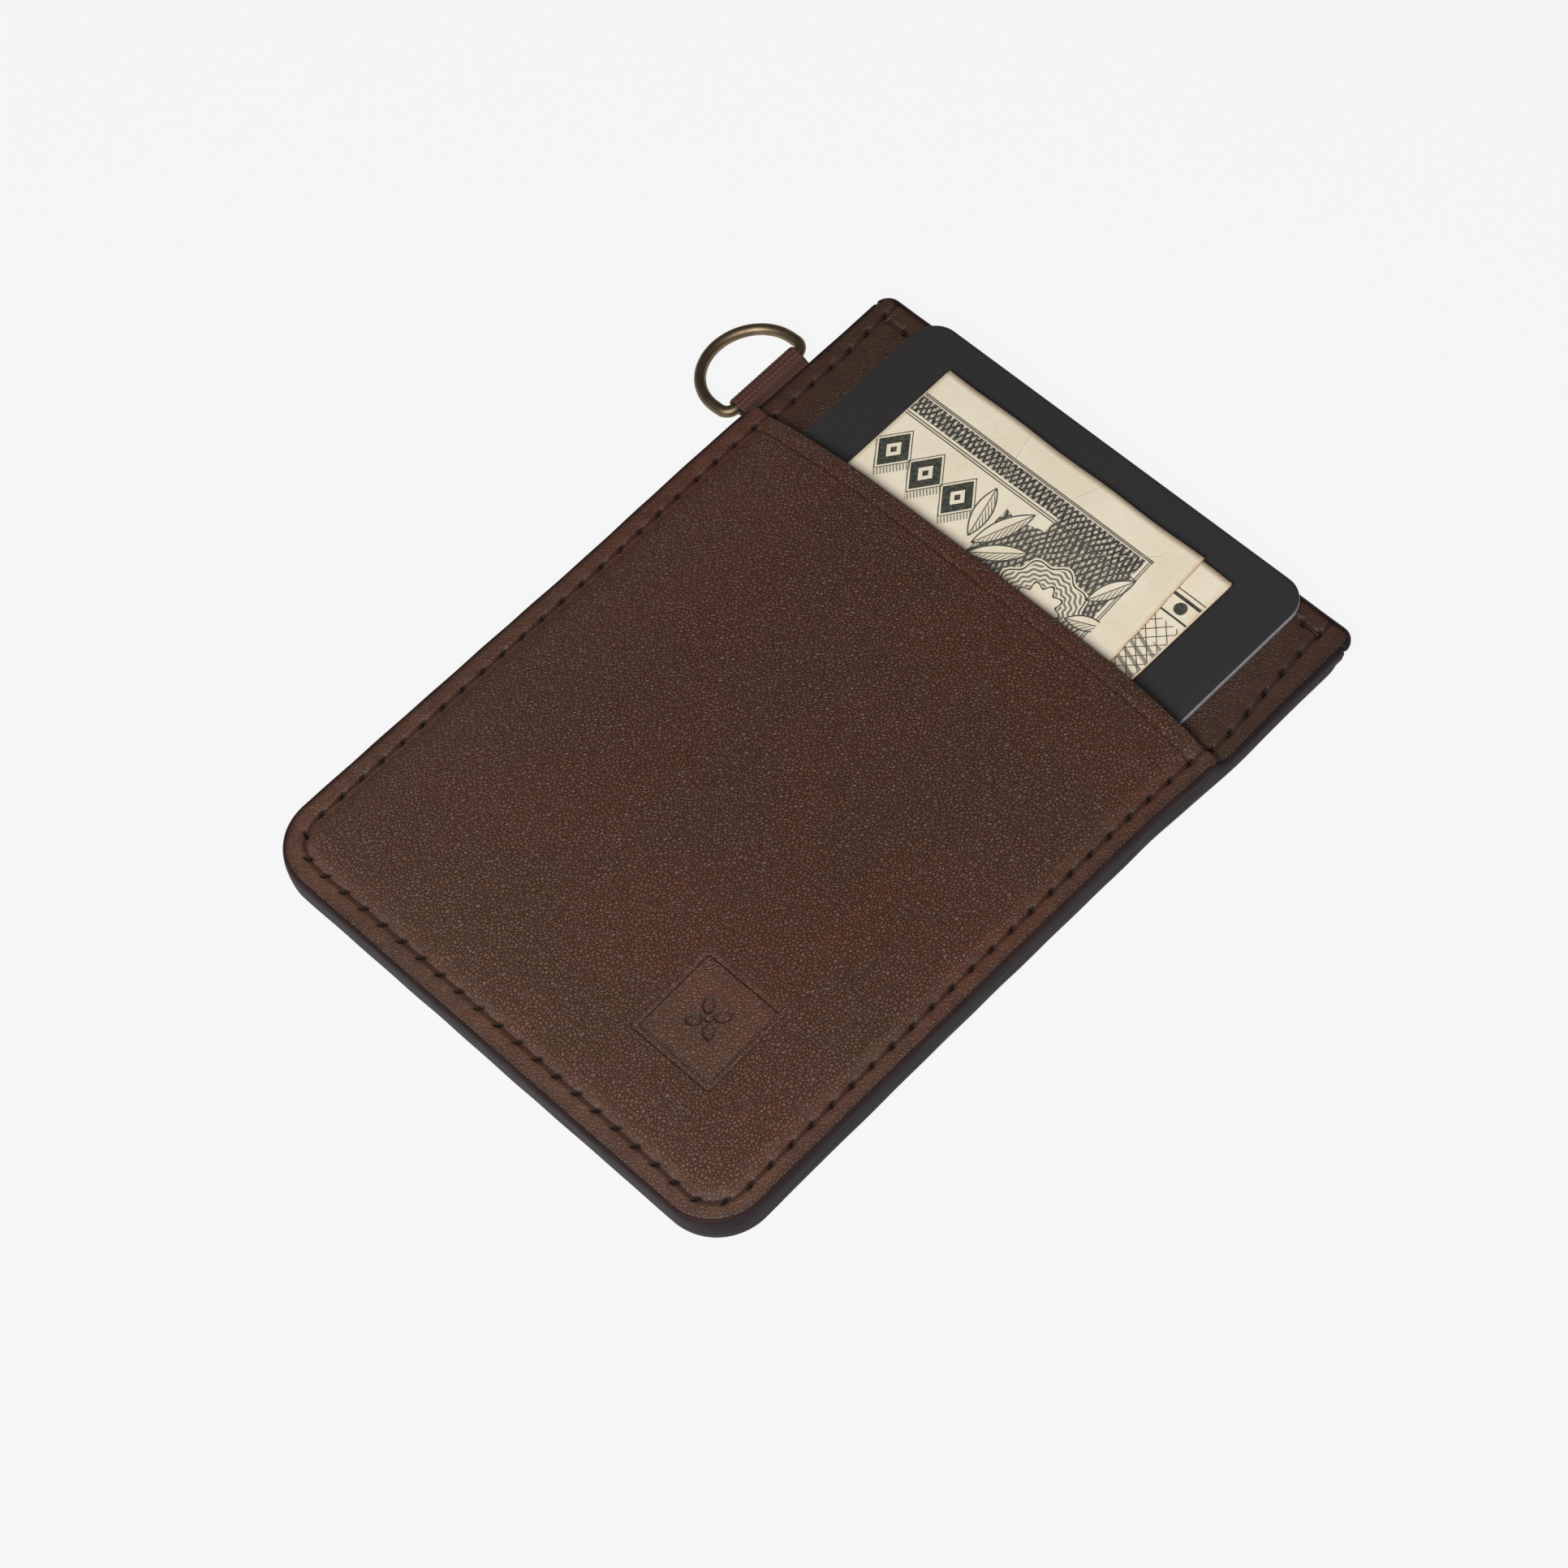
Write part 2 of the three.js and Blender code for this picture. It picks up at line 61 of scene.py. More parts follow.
# ---- Sizes, from the CAD model where it holds them ----
PAINT_LOW, PAINT_HIGH = cad("side_edge_paint")
HALF_WIDTH = PAINT_HIGH[0]
HALF_HEIGHT = -PAINT_LOW[1]
BACK_TOP = cad("back_main_panel")[1][2]
MAIN_LOW, MAIN_TOP = cad("front_main_panel")[0][2], cad("front_main_panel")[1][2]
POCKET_LOW = cad("front_pocket_panel")[0][2]
LEATHER = MAIN_TOP - MAIN_LOW
RIM_TOP = POCKET_LOW + LEATHER
BOTTOM_RADIUS = 6.5
TOP_RADIUS = 1.8
BACK_TOP_RADIUS = 4.5
PANEL_INSET = HALF_WIDTH - cad("front_main_panel")[1][0]
LIP_Y = 25.8
LIP_BOW = 0.5

SEAM_INSET = 2.45
THREAD_RADIUS = 0.15
STITCHES = 82  # round the sides and bottom
TOP_STITCHES = 22  # along each top edge
HOLE_SLANT = math.radians(42)

STAMP_X, STAMP_Y = 16.2, -29.3
STAMP_OUTER, STAMP_INNER = 5.62, 4.95  # half sides

CARD_LOW, CARD_HIGH = cad("charcoal_card")
NOTE_LOW, NOTE_HIGH = cad("folded_banknote")
TAB_LOW, TAB_HIGH = cad("ring_tab")

CORNER_X = HALF_WIDTH - BOTTOM_RADIUS
CORNER_Y = BOTTOM_RADIUS - HALF_HEIGHT
SEAM_TOP = HALF_HEIGHT - SEAM_INSET
SEAM_RADIUS = BOTTOM_RADIUS - SEAM_INSET
SEAM_SIDE = SEAM_TOP - CORNER_Y
SEAM_ARC = SEAM_RADIUS * math.pi / 2
SEAM_LENGTH = 2 * SEAM_SIDE + 2 * SEAM_ARC + 2 * CORNER_X
PITCH = SEAM_LENGTH / STITCHES
TOP_SEAM_X = HALF_WIDTH - SEAM_INSET
TOP_PITCH = 2 * TOP_SEAM_X / TOP_STITCHES


# ---- Small maths ----


def bell(x, width):
    return np.exp(-((x / width) ** 2))


def ease(x):
    x = np.clip(x, 0, 1)
    return x * x * (3 - 2 * x)


def quarter_round(share):
    """How far a rounded edge has fallen away, from 0 to 1, as share of its radius is passed."""
    return 1 - np.sqrt(np.clip(1 - share**2, 0, 1))


def ripple(x, y, size, seed):
    """A gentle, repeatable unevenness between about -1 and 1, with bumps about size across."""
    rng = np.random.default_rng(seed)
    total = 0
    for _ in range(7):
        turn, phase = rng.uniform(0, 2 * math.pi, 2)
        wave = rng.uniform(0.7, 1.5) * math.pi / size
        total = total + np.sin(wave * (x * math.cos(turn) + y * math.sin(turn)) + phase)
    return total / 4


# ---- The outline ----


def settle(points):
    """The sewn leather's own outline: a waist on the right, a swell by the tab, a tilted top."""
    points = np.array(points, float)
    x, y = points[:, 0].copy(), points[:, 1].copy()
    below = np.clip(9 - y, 0, None) / 47
    right = HALF_WIDTH - 0.5 + 0.37 * ease((y - 14) / 12) + 0.17 * bell(y - 29, 3.5) + 0.35 * below**2
    left = HALF_WIDTH - 0.05 + 0.16 * bell(y - 17, 9) + 0.3 * np.clip(-y / 35, 0, 1)
    points[:, 0] = np.where(x > 0, x * right / HALF_WIDTH, x * left / HALF_WIDTH)
    points[:, 1] = y + ease((y - 30) / 15) * (0.13 + 0.15 * x / HALF_WIDTH)
    return points


def lip_at(x):
    return LIP_Y + LIP_BOW * (1 - (x / HALF_WIDTH) ** 2) + 0.06 * x / HALF_WIDTH


def locate(x, y):
    """How far in from the outline a point is, and how far along the sewn line from its left end."""
    ax = np.abs(x)
    cx, cy = ax - CORNER_X, CORNER_Y - y
    corner = (cx > 0) & (cy > 0)
    radius = np.hypot(cx, cy)
    turn = np.arctan2(np.maximum(cy, 1e-9), np.maximum(cx, 1e-9))
    side_gap, bottom_gap = HALF_WIDTH - ax, y + HALF_HEIGHT
    on_side = side_gap <= bottom_gap
    inset = np.where(corner, BOTTOM_RADIUS - radius, np.minimum(side_gap, bottom_gap))
    along = np.where(on_side, SEAM_TOP - y, SEAM_SIDE + SEAM_ARC + CORNER_X - ax)
    along = np.where(corner, SEAM_SIDE + SEAM_RADIUS * turn, along)
    return inset, np.where(x > 0, SEAM_LENGTH - along, along)


def seam_inset(along):
    """The sewn line runs closer to the right edge than to the others, and strays near the top."""
    share = along / SEAM_LENGTH
    inset = SEAM_INSET + np.interp(share, [0.37, 0.43, 0.57, 0.63], [0, 0.13, 0.13, -0.22])
    inset = inset + 0.9 * ease(1 - (SEAM_LENGTH - along) / 15) - 0.28 * ease(1 - along / 7)
    return inset


def seam_xy(along):
    """The points of the sewn line."""
    along = np.asarray(along, float)
    near = np.minimum(along, SEAM_LENGTH - along)
    inset = seam_inset(along)
    turn = np.clip((near - SEAM_SIDE) / SEAM_RADIUS, 0, math.pi / 2)
    radius = BOTTOM_RADIUS - inset
    x = CORNER_X + radius * np.cos(turn) - np.clip(near - SEAM_SIDE - SEAM_ARC, 0, None)
    y = np.where(near < SEAM_SIDE, SEAM_TOP - near, CORNER_Y - radius * np.sin(turn))
    return np.where(along < SEAM_LENGTH / 2, -x, x), y


def arc(x, y, radius, turns):
    """Points on a circle round a centre, at each of some angles."""
    return [(x + radius * math.cos(t), y + radius * math.sin(t)) for t in turns]


def rim_path(inset, top, top_radius, step, closed):
    """Points along the outline at an inset: from the left top, round the bottom, to the right top."""
    radius = BOTTOM_RADIUS - inset
    x = HALF_WIDTH - inset

    def run(a, b):
        count = max(2, int(round(math.dist(a, b) / step)) + 1)
        return [tuple(np.array(a) + (np.array(b) - np.array(a)) * i / count) for i in range(count)]

    def bend(cx, cy, r, start):
        count = max(6, int(round(r * math.pi / 2 / step)))
        return arc(cx, cy, r, np.linspace(start, start + math.pi / 2, count, endpoint=False))

    points = run((-x, top), (-x, CORNER_Y)) + bend(-CORNER_X, CORNER_Y, radius, math.pi)
    points += run((-CORNER_X, -HALF_HEIGHT + inset), (CORNER_X, -HALF_HEIGHT + inset))
    points += bend(CORNER_X, CORNER_Y, radius, -math.pi / 2)
    points += run((x, CORNER_Y), (x, top)) + [(x, top)]
    if closed:
        small = max(top_radius - inset, 0.25)
        upper = HALF_HEIGHT - inset
        points[-1:] = bend(x - small, upper - small, small, 0)
        points += run((x - small, upper), (small - x, upper))
        points += bend(small - x, upper - small, small, math.pi / 2)
    return points


# ---- Meshes ----


def in_scene(name, data):
    """A new object that holds data, in the scene."""
    made = bpy.data.objects.new(name, data)
    bpy.context.scene.collection.objects.link(made)
    return made


def piece(name, verts, faces, material, body, node):
    """A mesh object that stands for a CAD node and rides on its body."""
    mesh = bpy.data.meshes.new(name)
    mesh.from_pydata((np.asarray(verts, float) * MM).tolist(), [], faces)
    mesh.validate()
    mesh.polygons.foreach_set("use_smooth", [True] * len(mesh.polygons))
    mesh.materials.append(material)
    made = in_scene(name, mesh)
    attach(made, body)
    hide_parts(node)
    return made


def marks(made, **fields):
    """Stores numbers for the material at each vertex."""
    for name, values in fields.items():
        layer = made.data.attributes.new(name, "FLOAT", "POINT")
        layer.data.foreach_set("value", np.asarray(values, np.float32))


def triangulate(loop, inner):
    """Triangles over the inside of a closed loop of points, with more points inside it."""
    count = len(loop)
    points = [Vector(p) for p in loop] + [Vector(p) for p in inner]
    edges = [(i, (i + 1) % count) for i in range(count)]
    verts, _, faces, *_ = delaunay_2d_cdt(points, edges, [], 1, 1e-6, False)
    return np.array([tuple(v) for v in verts]), [tuple(f) for f in faces]


def slab(loop, outer, inner, outer_z, inner_z, flip=False):
    """A closed sheet: a finely shaped outer face, a plain inner face, and the wall between them."""
    top, top_faces = triangulate(loop, outer)
    low, low_faces = triangulate(loop, inner)
    top_z, low_z = outer_z(top[:, 0], top[:, 1]), inner_z(low[:, 0], low[:, 1])
    verts = np.vstack([np.column_stack([top, top_z]), np.column_stack([low, low_z])])
    shift = len(top)
    faces = top_faces + [tuple(shift + i for i in reversed(f)) for f in low_faces]
    count = len(loop)
    for i in range(count):
        j = (i + 1) % count
        faces.append((i, shift + i, shift + j, j))
    if flip:
        faces = [tuple(reversed(f)) for f in faces]
    return verts, faces


def everywhere(x, y):
    return np.full_like(x, True, bool)


def grid_points(x0, x1, y0, y1, step, keep):
    """A staggered grid of points: those that keep allows."""
    rows = np.arange(y0, y1, step * 0.87)
    points = []
    for i, y in enumerate(rows):
        x = np.arange(x0 + (i % 2) * step / 2, x1, step)
        mask = keep(x, np.full_like(x, y))
        points += [(a, y) for a in x[mask]]
    return points


def run_length(path):
    """How far along a path each of its points is."""
    return np.concatenate([[0], np.cumsum(np.linalg.norm(np.diff(path, axis=0), axis=1))])


def left_of(path):
    """The direction to the left of a flat path, at each of its points."""
    ahead = np.gradient(path, axis=0)
    ahead /= np.linalg.norm(ahead, axis=1)[:, None]
    return np.column_stack([-ahead[:, 1], ahead[:, 0]])


def loft(rings, sides, flip=False):
    """The faces over points laid out ring after ring, with one face across each end."""
    faces = [tuple(range(sides))[::-1], tuple((rings - 1) * sides + k for k in range(sides))]
    for start in range(0, (rings - 1) * sides, sides):
        for k in range(sides):
            m = (k + 1) % sides
            faces.append((start + k, start + m, start + sides + m, start + sides + k))
    return [face[::-1] for face in faces] if flip else faces


def folded_faces(count, depth):
    """The faces of a thick folded sheet: depth rows of count points on one side, then on the other."""

    def at(side, row, i):
        return (side * depth + row) * count + i

    faces = []
    for row in range(depth - 1):
        for i in range(count - 1):
            faces.append((at(0, row, i), at(0, row, i + 1), at(0, row + 1, i + 1), at(0, row + 1, i)))
            faces.append((at(1, row, i + 1), at(1, row, i), at(1, row + 1, i), at(1, row + 1, i + 1)))
        for i, turn in ((0, 1), (count - 1, -1)):
            wall = (at(0, row, i), at(0, row + 1, i), at(1, row + 1, i), at(1, row, i))
            faces.append(wall[::turn])
    last = depth - 1
    for i in range(count - 1):
        faces.append((at(0, 0, i), at(1, 0, i), at(1, 0, i + 1), at(0, 0, i + 1)))
        faces.append((at(0, last, i), at(0, last, i + 1), at(1, last, i + 1), at(1, last, i)))
    return faces


def tube(path, radius, sides, twist=0.0, plies=0, depth=0.0):
    """A round tube along a path. With plies, its surface winds round like a laid thread."""
    path = np.asarray(path, float)
    ahead = np.roll(path, -1, 0) - path
    ahead[-1] = ahead[-2]
    tangent = ahead + np.vstack([ahead[:1], ahead[:-1]])
    tangent /= np.linalg.norm(tangent, axis=1)[:, None]
    normal = np.zeros_like(path)
    last = np.cross(tangent[0], [0, 0, 1.0])
    last /= np.linalg.norm(last)
    for i, t in enumerate(tangent):
        last = last - t * (last @ t)
        last /= np.linalg.norm(last)
        normal[i] = last
    across = np.cross(tangent, normal)
    length = run_length(path)
    verts = []
    for k in range(sides):
        angle = 2 * math.pi * k / sides
        r = radius * (1 + depth * np.cos(plies * angle + twist * length))
        verts.append(path + r[:, None] * (normal * math.cos(angle) + across * math.sin(angle)))
    return np.stack(verts, 1).reshape(-1, 3), loft(len(path), sides)


# ---- The sewn surface ----


def stitch_marks(across, along, pitch, slant=HOLE_SLANT):
    """What a stitch line does to leather: how far it sinks, and where shade is painted into its holes and
    its groove.
    """
    step = along - pitch * np.round(along / pitch)
    long = step * np.cos(slant) + across * np.sin(slant)
    short = across * np.cos(slant) - step * np.sin(slant)
    hole = np.exp(-(((long / 0.48) ** 2 + (short / 0.21) ** 2) ** 1.4))
    # the dark dot in each hole, a little wider than the hole, is painted shade
    stain_and_shade = np.exp(-(((long / 0.52) ** 2 + (short / 0.25) ** 2) ** 2))
    between = 0.5 - 0.5 * np.cos(2 * math.pi * along / pitch)
    groove = bell(across, 0.24)
    sink = 0.13 * groove + 0.55 * hole + 0.06 * bell(np.hypot(across, step * 0.8), 0.75)
    swell = 0.03 * between * bell(np.abs(across) - 0.5, 0.3)
    return sink - swell, stain_and_shade, groove


def rim_marks(x, y):
    """The marks of the perimeter seam, whose holes slant more along the bottom than up the sides."""
    inset, along = locate(x, y)
    slant = HOLE_SLANT * (0.25 + 0.75 * ease((6 - HALF_HEIGHT - y) / 3))
    return stitch_marks(inset - seam_inset(along), along, PITCH, slant)


def rim_drop(inset):
    """The leather rounds down where it meets the edge paint."""
    near = np.clip(1 - (inset - PANEL_INSET) / 0.55, 0, 1)
    return 0.17 * near**2


def drape(x, y):
    """How far the contents lift the pocket panel: over the card, then over the note on it."""
    side = HALF_WIDTH - 3.1 - np.abs(x)
    bottom = y + HALF_HEIGHT - 3.1
    side, bottom = np.clip(side, 0, None), np.clip(bottom, 0, None)
    corner = (np.exp(-side / 2.3) ** 3.2 + np.exp(-bottom / 2.9) ** 3.2) ** (1 / 3.2)
    card = 1.2 * np.clip(1 - corner, 0, None)
    over_x = ease((x + 29) / 13) * ease((30.5 - x) / 13)
    over_y = ease((y + 42) / 26)
    return card + 0.98 * over_x * over_y


def pocket_smooth(x, y):
    return RIM_TOP + drape(x, y)


def stamp_sink(x, y):
    """The blind-stamped frame and the mark in it: how deep, and where the tool's edges pressed."""
    dx, dy = np.abs(x - STAMP_X), np.abs(y - STAMP_Y)

    def box_gap(half, radius):
        qx, qy = dx - half + radius, dy - half + radius
        outside = np.hypot(np.clip(qx, 0, None), np.clip(qy, 0, None))
        return outside + np.minimum(np.maximum(qx, qy), 0) - radius

    outer, inner = box_gap(STAMP_OUTER, 0.5), box_gap(STAMP_INNER, 0.3)
    frame_sink = 0.2 * ease((0.08 - outer) / 0.16) * ease((inner + 0.08) / 0.16)
    press = np.maximum(0.5 * ease((0.2 - np.abs(outer)) / 0.16), ease((0.22 - np.abs(inner)) / 0.16))
    field = 0.05 * ease((0.3 - inner) / 0.4)
    u, v = x - STAMP_X, y - STAMP_Y
    mark = np.hypot(u, v) - 0.34
    for k in range(4):
        turn = math.radians(45 + 90 * k)
        along = u * math.cos(turn) + v * math.sin(turn) - 1.45
        across = -u * math.sin(turn) + v * math.cos(turn)
        petal = (np.hypot(along / 0.84, across / 0.56) - 1) * 0.56
        mark = np.minimum(mark, petal)
    press = np.maximum(press, ease((0.22 - np.abs(mark)) / 0.16))
    return frame_sink + field + 0.2 * ease((0.08 - mark) / 0.16), press


def top_row_y(x):
    return HALF_HEIGHT - SEAM_INSET - 0.15 + 0.15 * x / HALF_WIDTH


def top_row(x, y):
    """A point's place across and along the top row of stitches."""
    return top_row_y(x) - y, x + TOP_SEAM_X


def panel_marks(x, y, start):
    """The stitch marks of a panel sewn all round, where its side seam is bare below start."""
    inset, _ = locate(x, y)
    bare = ease((y - start) / 0.3)
    sink, hole, groove = (m * bare for m in rim_marks(x, y))
    across, step = top_row(x, y)
    within = (np.abs(x) < TOP_SEAM_X - 0.3).astype(float)
    row = [m * within for m in stitch_marks(across, step, TOP_PITCH)]
    edge = np.minimum(inset, HALF_HEIGHT - y)
    return sink + row[0], np.maximum(hole, row[1]), np.maximum(groove, row[2]), edge


def main_top(x, y):
    sink, _, _, edge = panel_marks(x, y, lip_at(x) + 0.2)
    swell = 0.05 * ripple(x, y, 9, 21) * ease((y - lip_at(x)) / 4) * ease((edge - 1) / 3)
    return MAIN_TOP - 0.03 + swell - np.clip(sink, -0.05, 1) - rim_drop(edge)


def back_face(x, y):
    sink, _, _, edge = panel_marks(x, y, -HALF_HEIGHT)
    return np.clip(sink + 0.04, 0, 1) + rim_drop(edge)


def pocket_top(x, y):
    inset, _ = locate(x, y)
    sink, _, _ = rim_marks(x, y)
    below = lip_at(x) - y
    inside = ease((inset - 3.4) / 3)
    swell = 0.1 * ripple(x, y, 17, 3) + 0.035 * ripple(x, y, 6, 8)
    height = pocket_smooth(x, y) + swell * inside * ease(below / 5)
    height = height - sink - rim_drop(inset) - stamp_sink(x, y)[0]
    crease = 0.13 * bell(below - 2.2, 0.2) - 0.06 * bell(below - 2.55, 0.3)
    turned = 0.09 * ease(below / 0.5) * ease((2.15 - below) / 0.5)
    height = height - (crease - turned) * ease((inset - 1.9) / 1.2)
    roll = np.clip(1 - below / 0.5, 0, 1)
    return height - 0.5 * quarter_round(roll)


def pocket_under(x, y):
    below = lip_at(x) - y
    roll = np.clip(1 - below / 0.3, 0, 1)
    return POCKET_LOW + drape(x, y) + 0.3 * quarter_round(roll)


def pocket_loop():
    """The pocket panel's edge: down the left, along the bottom, up the right, back along the lip."""
    x = HALF_WIDTH - PANEL_INSET
    upper = np.arange(0.3, LIP_Y - 0.9, 0.3)
    corner = 0.8
    turns = np.linspace(0, math.pi / 2, 7)
    loop = [(-x, y) for y in upper[::-1]] + rim_path(PANEL_INSET, 0, 0, 0.3, False)
    loop += [(x, y) for y in upper]
    loop += arc(x - corner, lip_at(x) - corner, corner, turns)
    loop += [(a, lip_at(a)) for a in np.arange(x - corner - 0.35, corner - x, -0.35)]
    return loop + arc(corner - x, lip_at(-x) - corner, corner, turns + math.pi / 2)


# The rings of points that shape the seam, and how far apart their points are
SEAM_INSETS = [0.45, 0.55, 0.7, 0.9, 1.2, 1.5, 1.75] + [1.9 + 0.1 * k for k in range(14)] + [3.4, 3.7]
SEAM_STEPS = [0.4] * 5 + [0.3, 0.25] + [0.14] * 14 + [0.3, 0.45]
# The rows of points below the lip that shape its turned edge and its crease
LIP_ROWS = [0.03, 0.1, 0.2, 0.33, 0.5, 0.75, 1.1, 1.5, 1.8, 1.95, 2.05, 2.15, 2.25, 2.35]
LIP_ROWS += [2.5, 2.65, 2.85, 3.2]


def seam_points(top):
    """The points of those rings, below top."""
    rings = [rim_path(inset, top, 0, step, False) for inset, step in zip(SEAM_INSETS, SEAM_STEPS)]
    return [point for ring in rings for point in ring]


def panel_grid(top, step, keep):
    """Points all over a panel, up to its top."""
    return grid_points(-HALF_WIDTH, HALF_WIDTH, -HALF_HEIGHT, top, step, keep)


def pocket_points():
    points = [p for p in seam_points(LIP_Y + 1) if p[1] < lip_at(p[0]) - 0.05]
    for below in LIP_ROWS:
        reach = HALF_WIDTH - (PANEL_INSET + 0.12 if below > 0.8 else 1.0)
        across = np.arange(-reach, reach, 0.4 if below > 0.5 else 0.35)
        kept = across if below < 0.8 else across[np.abs(across) < HALF_WIDTH - 3.75]
        points += [(a, lip_at(a) - below) for a in kept]

    def plain(x, y):
        inset, _ = locate(x, y)
        stamp = np.maximum(np.abs(x - STAMP_X), np.abs(y - STAMP_Y)) < STAMP_OUTER + 0.75
        return (inset > 3.85) & (y < lip_at(x) - 3.4) & ~stamp

    points += panel_grid(LIP_Y, 0.55, plain)
    reach = STAMP_OUTER + 0.7
    (x0, x1), (y0, y1) = [(middle - reach, middle + reach) for middle in (STAMP_X, STAMP_Y)]
    return points + grid_points(x0, x1, y0, y1, 0.1, everywhere)


# ---- Materials ----


def linear(colour):
    """A colour given as 0 to 255 screen values, as the shader wants it."""
    tone = [c / 255 for c in colour]
    return tuple(c / 12.92 if c <= 0.04045 else ((c + 0.055) / 1.055) ** 2.4 for c in tone) + (1,)


def feed(socket, value):
    """Sets a socket to a plain number or colour, or links a value or socket to it."""
    value = value.socket if isinstance(value, Value) else value
    if isinstance(value, bpy.types.NodeSocket):
        socket.id_data.links.new(value, socket)
    else:
        socket.default_value = value


class Value:
    """A number that varies over a surface. Arithmetic on it adds Math nodes."""

    def __init__(self, socket):
        self.socket = socket

    def op(self, kind, *others, clamp=False):
        node = self.socket.id_data.nodes.new("ShaderNodeMath")
        node.operation, node.use_clamp = kind, clamp
        for socket, value in zip(node.inputs, (self, *others)):
            feed(socket, value)
        return Value(node.outputs[0])

    __add__ = __radd__ = partialmethod(op, "ADD")
    __sub__ = partialmethod(op, "SUBTRACT")
    __mul__ = __rmul__ = partialmethod(op, "MULTIPLY")
    sin = partialmethod(op, "SINE")
    abs = partialmethod(op, "ABSOLUTE")
    max = partialmethod(op, "MAXIMUM")
    min = partialmethod(op, "MINIMUM")

    def __rsub__(self, other):
        return (self * -1.0) + other

    def clamp(self):
        return self.op("ADD", 0.0, clamp=True)

    def over(self, edge, soft=0.05):
        """1 where this is over edge and 0 where it is under, changing over soft."""
        return ((self - edge) * (1 / soft) + 0.5).clamp()

    def under(self, edge, soft=0.05):
        return ((edge - self) * (1 / soft) + 0.5).clamp()

    def near(self, middle, half, soft=0.05):
        """1 where this is within half of middle."""
        return (self - middle).abs().under(half, soft)


class Finish:
    """A procedural material on object coordinates, in millimetres."""

    def __init__(self, name):
        self.material = bpy.data.materials.new(name)
        self.material.use_nodes = True
        self.nodes = self.material.node_tree.nodes
        self.nodes.clear()
        self.shader = self.node("BsdfPrincipled")
        self.node("OutputMaterial", self.shader.outputs[0])
        place = self.node("TexCoord").outputs["Object"]
        self.place = self.node("VectorMath", place, "SCALE", Scale=1 / MM).outputs[0]

    def node(self, kind, first=None, operation=None, **inputs):
        """A node with its first input fed, and others by name."""
        node = self.nodes.new("ShaderNode" + kind)
        if operation:
            node.operation = operation
        if first is not None:
            feed(node.inputs[0], first)
        for name, value in inputs.items():
            feed(node.inputs[name], value)
        return node

    def axes(self):
        return [Value(s) for s in self.node("SeparateXYZ", self.place).outputs]

    def vector(self, x, y, z):
        return self.node("CombineXYZ", X=x, Y=y, Z=z).outputs[0]

    def noise(self, scale, detail=2.0, rough=0.5, place=None, distort=0.0):
        node = self.node("TexNoise", Scale=scale, Detail=detail, Roughness=rough, Distortion=distort)
        feed(node.inputs["Vector"], place or self.place)
        return Value(node.outputs["Fac"])

    def cells(self, scale, feature, place):
        node = self.node("TexVoronoi", Vector=place, Scale=scale)
        node.feature = feature
        return Value(node.outputs["Distance"])

    def shifted(self, amount, scale, place):
        """The coordinates, pushed about by noise."""
        noise = self.node("TexNoise", Vector=place, Scale=scale)
        push = self.node("VectorMath", noise.outputs["Color"], "MULTIPLY_ADD")
        feed(push.inputs[1], (amount,) * 3)
        feed(push.inputs[2], place)
        return push.outputs[0]

    def mark(self, name):
        node = self.node("Attribute")
        node.attribute_name = name
        return Value(node.outputs["Fac"])

    def mix(self, share, a, b):
        """A colour between a and b, each a socket or 0 to 255 screen values."""
        node = self.node("Mix")
        node.data_type = "RGBA"
        for socket, value in zip((node.inputs[0], *node.inputs[6:8]), (share, a, b)):
            feed(socket, linear(value) if isinstance(value, tuple) else value)
        return node.outputs[2]

    def finish(self, colour, roughness, height, depth, **fixed):
        bump = self.node("Bump", Strength=1.0, Distance=depth * MM, Height=height)
        named = {"Base Color": colour, "Roughness": roughness, "Normal": bump.outputs[0]}
        named.update((name.replace("_", " "), value) for name, value in fixed.items())
        for name, value in named.items():
            feed(self.shader.inputs[name], value)
        return self.material


